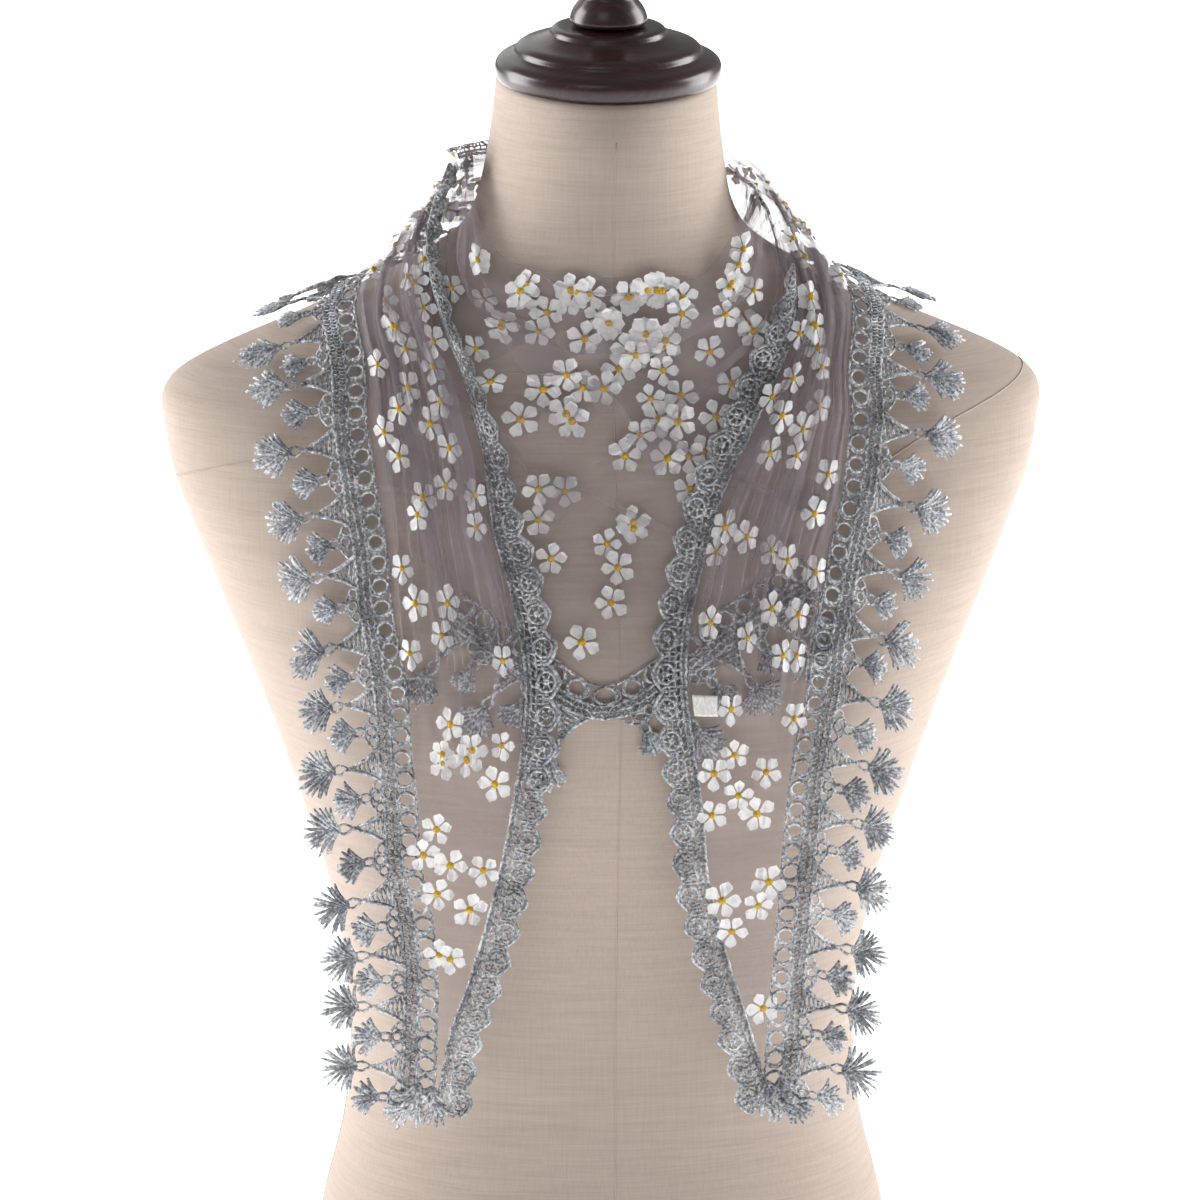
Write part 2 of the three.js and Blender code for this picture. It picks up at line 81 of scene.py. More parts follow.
def table(names, rows):
    return dict(zip(names, np.array(rows, float).T))


def between(rows, key, at, column):
    """One column of a table, read at any value of its key column by a smooth curve through the rows."""
    x, y = rows[key], rows[column]
    if x[-1] < x[0]:
        x, y = x[::-1], y[::-1]
    last = len(x) - 1
    at = np.clip(at, x[0], x[-1])
    i = np.clip(np.searchsorted(x, at, side="right") - 1, 0, last - 1)
    before, after = np.maximum(i - 1, 0), np.minimum(i + 2, last)
    step = x[i + 1] - x[i]
    t = (at - x[i]) / step
    start = (y[i + 1] - y[before]) / (x[i + 1] - x[before])
    end = (y[after] - y[i]) / (x[after] - x[i])
    t2, t3 = t * t, t * t * t
    return ((2 * t3 - 3 * t2 + 1) * y[i] + (t3 - 2 * t2 + t) * step * start
            + (3 * t2 - 2 * t3) * y[i + 1] + (t3 - t2) * step * end)


def smooth(low, high, value):
    t = np.clip((value - low) / (high - low), 0, 1)
    return t * t * (3 - 2 * t)


def unit(vectors):
    return vectors / np.maximum(np.linalg.norm(vectors, axis=-1, keepdims=True), 1e-9)


# The form and the surface that the cloth rests on

FORM = table(["z", "half", "front", "back", "power"], [
    [0, 134, 94, 92, 2.2],
    [18, 136.5, 97, 95, 2.2],
    [60, 136, 96, 95, 2.2],
    [104, 127.6, 90, 90, 2.2],
    [146, 117.6, 85, 83, 2.2],
    [196, 115.2, 84, 80, 2.2],
    [249, 123, 91, 83, 2.2],
    [307, 140.6, 106, 88, 2.2],
    [340, 152, 112, 91, 2.2],
    [376, 165.5, 111, 94, 2.25],
    [403, 176, 103, 94.5, 2.3],
    [423, 183.6, 95, 93, 2.3],
    [445, 191.3, 87.5, 88, 2.3],
    [467, 195.2, 80, 82, 2.3],
    [480, 195.5, 76.5, 78, 2.2],
    [490, 187, 73, 75, 2.1],
    [500, 168, 70.5, 72, 2],
    [512, 139, 68.5, 69, 2],
    [524, 111, 67, 66, 2],
    [536, 86, 66, 62, 2],
    [549, 66, 65, 56.5, 2],
    [562, 57.3, 65, 51, 2],
    [577, 53.6, 65.5, 45.5, 2],
    [592, 51.2, 66.5, 42, 2],
    [606, 49.6, 65.5, 39, 2],
    [NECK_TOP, 48.4, 62.4, 34.4, 2],
])
# Below the bust the cloth hangs straight down instead of following the waist
HANG_FROM = 384
HANG = table(["z", "half", "front", "power"], [
    [60, 192, 100, 2.6],
    [150, 193, 103, 2.6],
    [200, 194, 106, 2.6],
    [260, 195, 109.5, 2.6],
    [310, 193, 112, 2.55],
    [345, 183, 112.6, 2.45],
    [HANG_FROM, 168.5, 109.5, 2.25],
])
# Round the neck it stands off like a low collar
COLLAR_FROM = 524
COLLAR = table(["z", "half"], [
    [COLLAR_FROM, 111], [536, 91], [549, 77], [562, 67], [577, 58.5], [592, 54], [NECK_TOP, 50],
])


def form_section(z):
    return {column: between(FORM, "z", z, column) for column in ("half", "front", "back", "power")}


def rest_section(z):
    section = form_section(z)
    for column in ("half", "front", "power"):
        widened = np.maximum(section[column], between(HANG, "z", z, column))
        section[column] = np.where(z < HANG_FROM, widened, section[column])
    widened = np.maximum(section["half"], between(COLLAR, "z", z, "half"))
    section["half"] = np.where(z > COLLAR_FROM, widened, section["half"])
    return section


def on_section(section, angle, z):
    """A point of a rounded outline at an angle that starts in front and grows towards +X."""
    side = np.abs(np.sin(angle)) / section["half"]
    ahead = np.cos(angle) > 0
    depth = np.abs(np.cos(angle)) / np.where(ahead, section["front"], section["back"])
    radius = (side ** section["power"] + depth ** section["power"]) ** (-1 / section["power"])
    return np.stack([radius * np.sin(angle), -radius * np.cos(angle), z + 0 * angle], axis=-1)


def lifted(section_at, degrees, z, lift):
    """A point above the surface that some outlines span, and the surface's normal there."""
    angle = np.radians(degrees)
    low = on_section(section_at(z - 1), angle, z - 1)
    high = on_section(section_at(z + 1), angle, z + 1)
    section = section_at(z)
    around = on_section(section, angle + 0.01, z) - on_section(section, angle - 0.01, z)
    normal = unit(np.cross(around, high - low))
    return on_section(section, angle, z) + normal * np.asarray(lift)[..., None], normal


def rest(degrees, z, lift):
    degrees, z = np.broadcast_arrays(np.asarray(degrees, float), np.asarray(z, float))
    return lifted(rest_section, degrees, z, lift)


def settle(point, lift):
    """The point moved to a given lift off the surface that the cloth rests on."""
    for _ in range(3):
        degrees = np.degrees(np.arctan2(point[..., 0], -point[..., 1]))
        ground, normal = rest(degrees, point[..., 2], np.zeros(point.shape[:-1]))
        height = np.sum((point - ground) * normal, axis=-1)
        point = point + normal * (lift - height)[..., None]
    return point, normal


# The stretches of cloth: A and B are their two long edges, each as angles round the form and heights

EDGES = ["angleA", "zA", "angleB", "zB"]
DRAPE = table(EDGES, [
    [-97, 586, -97, 519],
    [-83, 583, -76, 515],
    [-69, 574, -61, 492],
    [-56, 562, -53, 458],
    [-42, 549, -45, 423],
    [-29, 544, -31, 404],
    [-17, 542, -18, 388],
    [-5, 540.5, -5, 371],
    [8, 539.5, 6, 379],
    [20, 539.5, 19, 396],
    [33, 541.5, 33, 412],
    [46, 553, 46, 427],
    [58, 564, 52, 457],
    [71, 576, 60, 492],
    [85, 583, 75, 516],
    [101, 578, 97, 516],
    [118, 556, 118, 512],
])
END_LEFT = table([*EDGES, "lift"], [
    [-79, 584, -82, 528, OUTER_LIFT],
    [-76, 561, -74, 520, OUTER_LIFT],
    [-67, 543, -66, 509, OUTER_LIFT],
    [-54.6, 522, -60, 492, OUTER_LIFT],
    [-45, 498, -56, 470, 6.8],
    [-36.8, 468, -52, 444, 6.6],
    [-31.1, 433, -48.5, 420, 5.8],
    [-24.3, 402, -45.2, 393, 4.8],
    [-20.8, 375, -41.5, 366, 4.3],
    [-20.9, 350, -40.3, 342, 4.1],
    [-22.7, 322, -39.1, 316, 4.1],
    [-24.9, 296, -38.9, 291, 4.1],
    [-28.2, 266, -37.3, 264, 4.1],
    [-31.9, 238, -36.9, 238, 4.1],
    [-34.8, 214, -37.9, 214, 4.1],
    [-35.7, 198, -38.7, 198, 4.1],
])
END_RIGHT = table([*EDGES, "lift"], [
    [82, 572, 83, 531, OUTER_LIFT],
    [70.6, 552, 75.5, 524, OUTER_LIFT],
    [61.8, 532, 66, 512, OUTER_LIFT],
    [54.2, 512, 58.8, 493, OUTER_LIFT],
    [44.9, 490, 54.6, 470, 6.8],
    [35.5, 466, 51, 447, 6.6],
    [27, 442, 47.4, 428, 5.8],
    [21, 418, 43.9, 409, 4.8],
    [15.9, 392, 40.3, 388, 4.3],
    [14.5, 368, 37.4, 364, 4.1],
    [16, 340, 34.6, 339, 4.1],
    [17.9, 312, 33.2, 312, 4.1],
    [19.4, 282, 32.6, 284, 4.1],
    [22.7, 254, 32.2, 256, 4.1],
    [26.4, 226, 31.9, 228, 4.1],
    [29.2, 198, 32.3, 198, 4.1],
])
WRAP_INNER = table([*EDGES, "lift"], [
    [-97 - SPLIT_ANGLE, 586, -97 - SPLIT_ANGLE, 519, INNER_LIFT],
    [-120, 584, -120, 520, INNER_LIFT],
    [-150, 582, -150, 522, INNER_LIFT],
    [-180, 581, -180, 530, INNER_LIFT],
    [-205, 584, -205, 545, INNER_LIFT],
    [-225, 588, -225, 561, 3],
    [-242, 588, -242, 560, 5],
    [-256, 582, -256, 546, 6.2],
    [-278 + SPLIT_ANGLE, 572.5, -277 + SPLIT_ANGLE, 531.5, OUTER_LIFT],
])
WRAP_OUTER = table([*EDGES, "lift"], [
    [-79 - SPLIT_ANGLE, 584, -82 - SPLIT_ANGLE, 528, OUTER_LIFT],
    [-100, 577, -100, 521, OUTER_LIFT],
    [-125, 576, -125, 516, OUTER_LIFT],
    [-150, 574, -150, 512, OUTER_LIFT],
    [-180, 570, -180, 508, OUTER_LIFT],
    [-205, 565, -205, 508, OUTER_LIFT],
    [-225, 555, -225, 510, 5],
    [-242 + SPLIT_ANGLE, 555, -242 + SPLIT_ANGLE, 512, INNER_LIFT],
])

# Folds of the cowl, one above the other: how far each is tilted, climbs to the sides, stands off and hangs down
COWL_FOLDS = table(["z", "tilt", "climb", "height", "spread", "sag"], [
    [540, 0, 22, 2.4, 4.5, 8],
    [522, 0.05, 24, 4.2, 5.5, 17],
    [505, 0.3, 20, 1.2, 3.5, 6],
    [499, -1.05, 6, 3.4, 5.5, 17],
    [480, 0.7, 16, 2.4, 6.5, 15],
    [464, -0.4, 10, 1.0, 4, 6],
    [455, -0.8, 14, 1.8, 7, 14],
])
# How far the turned-in top of the cowl reaches down behind it
COWL_TURN_IN = table(["angle", "depth"], [
    [-100, 30], [-60, 40], [-40, 38], [-22, 34], [0, 49],
    [14, 66], [26, 78], [50, 70], [80, 40], [120, 25],
])


def cowl_relief(degrees, z, measure="height"):
    """All folds of the cowl together, as what they stand off or as what they hang down."""
    side = np.minimum(np.abs(degrees) / 50, 1.6)
    fade = 1 - smooth(0.8, 1.3, side)
    relief = 0
    for i in range(len(COWL_FOLDS["z"])):
        fold = {name: column[i] for name, column in COWL_FOLDS.items()}
        centre = fold["z"] + fold["tilt"] * degrees + fold["climb"] * side ** 1.8
        relief = relief + fold[measure] * fade * np.exp(-(((z - centre) / fold["spread"]) ** 2))
    return relief


def stretch(rows, sagging=False):
    """A function that places shares across and along a stretch on the form."""
    rows = dict(rows, along=np.linspace(0, 1, len(rows["angleA"])))

    def place(across, along, extra=0.0):
        at = {name: between(rows, "along", along, name) for name in rows}
        degrees = at["angleA"] + (at["angleB"] - at["angleA"]) * across
        z = at["zA"] + (at["zB"] - at["zA"]) * across
        lift = at["lift"] if "lift" in at else INNER_LIFT + cowl_relief(degrees, z)
        drop = cowl_relief(degrees, z, "sag") if sagging else 0
        return rest(degrees, z - drop, lift + extra)

    return place


drape, drape_folded = stretch(DRAPE), stretch(DRAPE, sagging=True)
end_left, end_right = stretch(END_LEFT), stretch(END_RIGHT)
wrap_inner, wrap_outer = stretch(WRAP_INNER), stretch(WRAP_OUTER)


# How far the cloth turns to and fro along each stretch, in radians: over 1.6 its folds lean over each other

GATHER_END = table(["along", "turn"], [
    [0, 2.1], [0.15, 2.15], [0.3, 2.1], [0.42, 2], [0.5, 1.75],
    [0.58, 1.2], [0.68, 0.7], [0.8, 0.5], [1, 0.3],
])
GATHER_DRAPE = table(["along", "turn"], [
    [0, 2.1], [0.14, 2.05], [0.22, 1.7], [0.3, 0.9], [0.4, 0.35],
    [0.55, 0.35], [0.66, 0.75], [0.74, 1.6], [0.84, 2.05], [1, 2.1],
])
GATHER_WRAP = table(["along", "turn"], [
    [0, 2.15], [0.5, 1.9], [1, 2.15],
])

# How far the folds wander sideways along a stretch, and the share at each edge where they fade
DRIFT = 0.6
EDGE_SHARE = 0.025


def gathers(place, tightness, folds, columns, rows, limit):
    """A grid of across shares and extra lifts that gathers a stretch into uneven folds across its width."""
    share = np.linspace(0, 1, columns + 1)[None, :]
    along = np.linspace(0, 1, rows + 1)[:, None]
    tight = between(tightness, "along", along, "turn")
    inside = smooth(0, EDGE_SHARE, share) * smooth(0, EDGE_SHARE, 1 - share)
    phase = 2 * np.pi * rng.random(6)
    wander = (0.55 * np.sin(2 * np.pi * 1.3 * share + 3.1 * along + phase[0])
              + 0.35 * np.sin(2 * np.pi * 2.6 * share - 5.3 * along + phase[1])
              + 0.2 * np.sin(9.0 * along + phase[2]))
    turn = 2 * np.pi * (folds * share + DRIFT * along + 0.45 * wander)
    strength = 1 + 0.12 * np.sin(2 * np.pi * 2.1 * share + 4 * along + phase[3])
    heading = tight * inside * strength * np.cos(turn)

    def summed(steps):
        return np.concatenate([np.zeros((rows + 1, 1)), np.cumsum(steps[:, 1:], axis=1) / columns], axis=1)

    run, rise = summed(np.cos(heading)), summed(np.sin(heading))
    across = run / run[:, -1:]
    flat = [place(np.full(rows + 1, a), along[:, 0])[0] for a in np.linspace(0, 1, 9)]
    width = sum(np.linalg.norm(b - a, axis=-1) for a, b in zip(flat, flat[1:]))
    arc = width[:, None] / run[:, -1:]
    rise = (rise - rise[:, -1:] * share) * arc
    lift = rise - rise.min(axis=1, keepdims=True) * inside
    lift = lift * np.minimum(1, limit / np.maximum(lift.max(axis=1, keepdims=True), 1e-6))
    return across, lift, along + 0 * share


# Meshes

def mesh_object(name, points, faces, materials, slots=None, smooth_shaded=True):
    mesh = bpy.data.meshes.new(name)
    mesh.from_pydata((np.asarray(points) * MM).tolist(), [], [list(map(int, f)) for f in faces])
    for material in materials:
        mesh.materials.append(material)
    if slots is not None:
        mesh.polygons.foreach_set("material_index", np.asarray(slots, np.int32))
    mesh.polygons.foreach_set("use_smooth", np.full(len(mesh.polygons), smooth_shaded))
    mesh.update()
    piece = bpy.data.objects.new(name, mesh)
    bpy.context.scene.collection.objects.link(piece)
    return piece


def grid_faces(rows, columns, closed=False):
    width = columns if closed else columns + 1
    j, i = np.meshgrid(np.arange(rows), np.arange(columns), indexing="ij")
    right = (i + 1) % width if closed else i + 1
    a, b = j * width + i, j * width + right
    return np.stack([a, b, b + width, a + width], axis=-1).reshape(-1, 4)


def tube_faces(rows, sides):
    """The faces of rings in a row, with a flat face on the first and on the last ring."""
    ends = [list(range(sides))[::-1], [rows * sides + i for i in range(sides)]]
    return grid_faces(rows, sides, closed=True).tolist() + ends


def install(piece, slot, *nodes):
    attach(piece, "root")
    if nodes:
        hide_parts(*nodes)
    return piece


# Materials

class Nodes:
    """A material's node tree, with short ways to add and join nodes."""

    def __init__(self, name):
        self.material = bpy.data.materials.new(name)
        self.material.use_nodes = True
        self.tree = self.material.node_tree
        self.shader = self.tree.nodes["Principled BSDF"]

    def add(self, kind, **settings):
        node = self.tree.nodes.new(kind)
        for key, value in settings.items():
            if hasattr(node, key):
                setattr(node, key, value)
            else:
                node.inputs[key].default_value = value
        return node

    def join(self, source, target):
        self.tree.links.new(source, target)

    def set(self, **values):
        for key, value in values.items():
            self.shader.inputs[key.replace("_", " ")].default_value = value

    def noise(self, *stretch_by, detail=2, roughness=0.6):
        place = self.add("ShaderNodeTexCoord")
        mapping = self.add("ShaderNodeMapping", Scale=stretch_by)
        noise = self.add("ShaderNodeTexNoise", Scale=1, Detail=detail, Roughness=roughness)
        self.join(place.outputs["Object"], mapping.inputs["Vector"])
        self.join(mapping.outputs["Vector"], noise.inputs["Vector"])
        return noise.outputs["Fac"]

    def colour(self, source, *stops):
        """The base colour, from stops that are a place on the source, then red, green and blue up to 255."""
        ramp = self.add("ShaderNodeValToRGB")
        elements = ramp.color_ramp.elements
        while len(elements) < len(stops):
            elements.new(0.5)
        for element, (position, *shade) in zip(elements, stops):
            element.position = position
            element.color = (*map(linear, shade), 1)
        self.join(source, ramp.inputs["Fac"])
        self.join(ramp.outputs["Color"], self.shader.inputs["Base Color"])

    def math(self, operation, a, b):
        node = self.add("ShaderNodeMath", operation=operation)
        for socket, value in zip(node.inputs, (a, b)):
            if isinstance(value, (int, float)):
                socket.default_value = value
            else:
                self.join(value, socket)
        return node.outputs["Value"]

    def mixed(self, *parts):
        """The sum of some sources, each times its own share."""
        total, *others = [self.math("MULTIPLY", source, share) for source, share in parts]
        for part in others:
            total = self.math("ADD", total, part)
        return total

    def bump(self, height, strength, distance):
        bump = self.add("ShaderNodeBump", Strength=strength, Distance=distance)
        self.join(height, bump.inputs["Height"])
        self.join(bump.outputs["Normal"], self.shader.inputs["Normal"])


def linear(value):
    value = value / 255
    return value / 12.92 if value <= 0.04045 else ((value + 0.055) / 1.055) ** 2.4


def linen_material():
    nodes = Nodes("linen")
    weft = nodes.noise(45, 45, 1500, detail=3)
    warp = nodes.noise(1300, 1300, 40)
    slub = nodes.noise(22, 22, 420, roughness=0.4)
    weave = nodes.mixed((weft, 0.5), (warp, 0.35), (slub, 0.3))
    nodes.colour(weave, (0.38, 174, 159, 148), (0.58, 184, 169, 158), (0.78, 194, 179, 168))
    nodes.set(Roughness=0.88, Specular_IOR_Level=0.2)
    nodes.bump(weave, 0.35, 0.0005)
    return nodes.material


def wood_material():
    nodes = Nodes("dark_wood")
    grain = nodes.noise(40, 900, 160, detail=5)
    cloud = nodes.noise(30, 30, 30)
    figure = nodes.mixed((grain, 0.7), (cloud, 0.3))
    nodes.colour(figure, (0.35, 26, 14, 12), (0.55, 52, 30, 26), (0.75, 84, 50, 40))
    nodes.set(Roughness=0.3, Coat_Weight=0.35, Coat_Roughness=0.18)
    nodes.bump(figure, 0.12, 0.0006)
    return nodes.material


def thread_material():
    nodes = Nodes("lace_thread")
    # The thread's colour is partly its own grey tone and partly painted light: random painted glints near white
    # and painted shade in dark grey, both driven by fine noise
    fibre = nodes.noise(760, 760, 760, detail=3)
    cloud = nodes.noise(70, 70, 70)
    glint_and_shade = nodes.mixed((fibre, 0.65), (cloud, 0.35))
    nodes.colour(glint_and_shade, (0.38, 84, 86, 92), (0.5, 156, 159, 166), (0.6, 228, 230, 233))
    nodes.set(Roughness=0.55, Sheen_Weight=0.2)
    nodes.bump(fibre, 0.4, 0.0003)
    return nodes.material


def toned_material(name, scale, detail, low, high, bump=None, **finish):
    """A material whose colour and relief follow one fine noise."""
    nodes = Nodes(name)
    tone = nodes.noise(*scale, detail=detail)
    nodes.colour(tone, low, high)
    nodes.set(**finish)
    if bump:
        nodes.bump(tone, *bump)
    return nodes.material


linen, wood, thread = linen_material(), wood_material(), thread_material()
tulle = toned_material("tulle", (900, 900, 900), 2, (0.35, 162, 149, 155), (0.65, 182, 170, 176),
                       Roughness=0.62, Alpha=0.19, Sheen_Weight=0.25, Sheen_Roughness=0.4)
petal = toned_material("petal", (260, 260, 260), 3, (0.35, 222, 220, 222), (0.62, 250, 249, 248),
                       bump=(0.3, 0.0003), Roughness=0.7, Sheen_Weight=0.3)
eye = toned_material("flower_eye", (900, 900, 900), 2, (0.35, 176, 132, 20), (0.65, 226, 190, 60),
                     bump=(0.5, 0.0004), Roughness=0.75)
tape = toned_material("tab_tape", (1400, 1400, 500), 2, (0.35, 218, 216, 212), (0.65, 246, 244, 240),
                      bump=(0.4, 0.0003), Roughness=0.7)


# The form, its seams and its cap

def lean_neck(points):
    z = points[..., 2].copy()
    lean = np.clip((z - NECK_LEAN_FROM) / (NECK_TOP - NECK_LEAN_FROM), 0, 1)
    points[..., 2] = z + lean * math.tan(CAP_TILT) * (points[..., 1] - NECK_CENTRE[1])
    points[..., 0] += NECK_CENTRE[0] * smooth(NECK_ASIDE_FROM, NECK_TOP, z)
    return points


def make_form():
    sides, levels = 160, 190
    z = np.linspace(0, NECK_TOP, levels + 1)[:, None]
    angle = np.linspace(0, 2 * np.pi, sides, endpoint=False)[None, :]
    points = lean_neck(on_section(form_section(z + 0 * angle), angle + 0 * z, z + 0 * angle))
    piece = mesh_object("form_linen", points.reshape(-1, 3), tube_faces(levels, sides), [linen])
    return install(piece, "linen", "dress_form")


def form_point(degrees, z, lift):
    return lean_neck(lifted(form_section, degrees, z, lift)[0])


# Sewn seams of the cover, as angle and height along each
SEAMS = [
    [[0, z] for z in (30, 120, 220, 300, 350, 420, 500, 560, 600)],
    [[180, z] for z in (30, 120, 220, 340, 460, 540, 600)],
    [[-90, 441], [-82, 447], [-74, 455], [-66, 462], [-57, 466]],
    [[90, 490], [84, 487], [76, 480], [67, 469], [58, 455]],
    [[92, z] for z in (30, 120, 250, 380, 476)],
    [[-92, z] for z in (30, 120, 250, 380, 476)],
]


def make_seams():
    points, faces = [], []
    sides, samples = 6, 60
    wide, high = 0.42, 0.26
    share = np.linspace(0, 1, samples)
    steps = np.arange(samples - 1)
    for seam in SEAMS:
        rows = table(["angle", "z"], seam)
        rows["share"] = np.linspace(0, 1, len(seam))
        angle, z = between(rows, "share", share, "angle"), between(rows, "share", share, "z")
        centre = form_point(angle, z, 0.05 + 0 * z)
        ahead = unit(np.gradient(centre, axis=0))
        out = unit(form_point(angle, z, 1 + 0 * z) - centre)
        side = np.cross(ahead, out)
        first = len(points) * samples
        for k in range(sides):
            turn = 2 * math.pi * k / sides
            points.append(centre + side * wide * math.cos(turn) + out * high * math.sin(turn))
            a = first + k * samples + steps
            b = first + ((k + 1) % sides) * samples + steps
            faces.extend(np.stack([a, b, b + 1, a + 1], axis=-1).tolist())
        for end in (0, samples - 1):
            faces.append([first + k * samples + end for k in range(sides)])
    piece = mesh_object("form_seams", np.concatenate(points), faces, [linen])
    return install(piece, "linen")


# Outlines of the turned cap and knob, as radius and height

CAP_PROFILE = [
    (0, 0), (47.6, 0), (49.2, 1.6), (49.8, 5), (49.4, 8.2), (47, 10.4), (43, 11.6), (41, 12.6), (40.6, 14.8),
    (38, 16.6), (33, 17.6), (28.4, 19.2), (25.6, 20.6), (25.2, 22.6), (23, 24), (0, 24.4),
]
KNOB_PROFILE = [
    (0, 0), (15.6, 0), (17, 1.6), (17, 3.6), (15.4, 7.6), (12.6, 11), (11.2, 12.6), (11.2, 14.4),
    (13, 16.6), (14.4, 20.6), (13.8, 25.4), (10, 30), (0, 32.6),
]


def rounded(profile, turns):
    """The outline with its corners cut off a number of times."""
    points = np.array(profile, float)
    for _ in range(turns):
        near, far = points[:-1] * 0.75 + points[1:] * 0.25, points[:-1] * 0.25 + points[1:] * 0.75
        points = np.concatenate([points[:1], np.stack([near, far], axis=1).reshape(-1, 2), points[-1:]])
    return points


def make_turned(name, profile, base, node):
    line = rounded(profile, 2)[1:-1]
    sides = 96
    angle = np.linspace(0, 2 * np.pi, sides, endpoint=False)
    ring = np.stack([np.sin(angle), -np.cos(angle)], axis=-1)
    points = np.concatenate([
        np.concatenate([ring * radius, np.full((sides, 1), base + height)], axis=1) for radius, height in line
    ])
    tilt = np.array([
        [1, 0, 0],
        [0, math.cos(CAP_TILT), -math.sin(CAP_TILT)],
        [0, math.sin(CAP_TILT), math.cos(CAP_TILT)],
    ])
    points = points @ tilt.T + np.array([*NECK_CENTRE, NECK_TOP + CAP_GAP])
    return install(mesh_object(name, points, tube_faces(len(line) - 1, sides), [wood]), "wood", node)


# Cloth

def cloth_mesh(name, place, tightness, folds, columns, rows, limit, node):
    across, lift, along = gathers(place, tightness, folds, columns, rows, limit)
    ripple = 0.25 * np.sin(60 * along + 5 * across) + 0.2 * np.sin(37 * along - 9 * across)
    points, _ = place(across, along, lift + np.abs(ripple) * np.sin(np.pi * across))
    piece = mesh_object(name, points.reshape(-1, 3), grid_faces(rows, columns), [tulle])
    return install(piece, "tulle", node)


def turned_in(across, along):
    """The top of the cowl behind its front, where across runs down from the top edge to its own hem."""
    rows = dict(DRAPE, along=np.linspace(0, 1, len(DRAPE["angleA"])))
    degrees, top = between(rows, "along", along, "angleA"), between(rows, "along", along, "zA")
    wave = 1 + 0.12 * np.sin(degrees / 9) + 0.06 * np.sin(degrees / 3.7)
    depth = between(COWL_TURN_IN, "angle", degrees, "depth") * wave
    return rest(degrees, top - depth * across, 1.0 + 0 * across)


def make_drape():
    columns, rows, turned_rows = 150, 260, 26
    across, lift, along = gathers(drape, GATHER_DRAPE, 8, columns, rows, 3.2)
    pull = 0.3 * np.sin(26 * across + 14 * along) + 0.2 * np.sin(41 * across - 20 * along)
    front, _ = drape_folded(across, along, lift + np.abs(pull) * np.sin(np.pi * across))
    share = np.linspace(1, 0.04, turned_rows)[None, :]
    under, _ = turned_in(share + 0 * along[:, :1], along[:, :1] + 0 * share)
    points = np.concatenate([under, front], axis=1)
    faces = grid_faces(rows, columns + turned_rows)
    piece = mesh_object("cloth_front", points.reshape(-1, 3), faces, [tulle])
    return install(piece, "tulle", "front_drape")


# Lace, with x along the edge that it is sewn to and y away from it

# How far it runs on past the tip of an end, where both laces close in, and where a narrow one widens
TAIL = 24
TIP_STRETCH = 70
HEAD_STRETCH = (-8, 24)
# A scallop of the narrow lace and its depth, then a pair of leaves of the wide lace and where leaves begin
SCALLOP = 14
NARROW_DEPTH = 15.4
LEAF_PAIR = 28
LEAVES_FROM = 15


def beside_edge(place, edge, start, end, outward, beyond=0.0):
    """The length of an edge, and a function that lays lace beside it, turned as the edge is at the stem."""
    samples, spread = 320, 10
    along = np.linspace(start, end, samples + 1)
    points, normals = place(np.full(samples + 1, float(edge)), along)
    marks = np.concatenate([[0], np.cumsum(np.linalg.norm(np.diff(points, axis=0), axis=-1))])
    length = marks[-1]

    def at(x):
        reach = np.clip(x, 0, length)
        i = np.clip(np.searchsorted(marks, reach, side="left"), 1, samples)
        t = ((reach - marks[i - 1]) / (marks[i] - marks[i - 1]))[..., None]
        tangent = unit(points[np.minimum(i + spread, samples)] - points[np.maximum(i - spread, 0)])
        point = points[i - 1] * (1 - t) + points[i] * t + tangent * (x - reach)[..., None]
        return point, unit(normals[i - 1] * (1 - t) + normals[i] * t), tangent

    def put(x, y, height, stem):
        point, normal, tangent = at(stem)
        away = unit(np.cross(normal, tangent)) * outward
        ground, _ = settle(point, np.zeros(point.shape[:-1]))
        lift = np.linalg.norm(point - ground, axis=-1)
        aside = point + tangent * (x - stem)[..., None] + away * y[..., None]
        settled, out = settle(aside, lift)
        return settled + out * height[..., None]

    return length + beyond, put


class Threads:
    """Thread lines of a flat lace, each with its own radius and height, made into one mesh of thin tubes."""

    def __init__(self):
        self.lines = []

    def line(self, points, radius, height=0.0, stem=None, closed=False, taper=None):
        points = np.asarray(points, float)
        if closed:
            points = np.concatenate([points, points[:1]])
        height = np.broadcast_to(np.asarray(height, float), (len(points),))
        radius = np.broadcast_to(np.asarray(radius, float), (len(points),))
        if taper is not None:
            radius = radius * np.asarray(taper)
        stem = points[:, 0] if stem is None else np.full(len(points), float(stem))
        self.lines.append((points, radius, height, stem))

    def ring(self, x, y, wide, deep, radius, height=0.0, stem=None, sides=12, turn=0.0):
        angle = np.linspace(0, 2 * np.pi, sides, endpoint=False) + turn
        self.line(np.stack([x + wide * np.cos(angle), y + deep * np.sin(angle)], axis=-1),
                  radius, height, stem, closed=True)

    def build(self, name, put):
        laid, faces = [], []
        count = 0
        for points, radius, height, stem in self.lines:
            ahead = unit(np.gradient(points, axis=0))
            side = np.stack([-ahead[:, 1], ahead[:, 0]], axis=-1)
            number = len(points)
            for across, up in ((1, 0), (0, 0.8), (-1, 0), (0, -0.8)):
                aside = points + side * (radius * across)[:, None]
                laid.append(np.stack([aside[:, 0], aside[:, 1], height + radius * up, stem]))
            for k in range(4):
                a = count + k * number + np.arange(number - 1)
                b = count + ((k + 1) % 4) * number + np.arange(number - 1)
                faces.append(np.stack([a, b, b + 1, a + 1], axis=-1))
            ends = count + np.arange(4) * number
            faces.append(ends[None, ::-1])
            faces.append(ends[None, :] + number - 1)
            count += 4 * number
        points = put(*np.concatenate(laid, axis=1))
        return mesh_object(name, points, np.concatenate(faces), [thread])


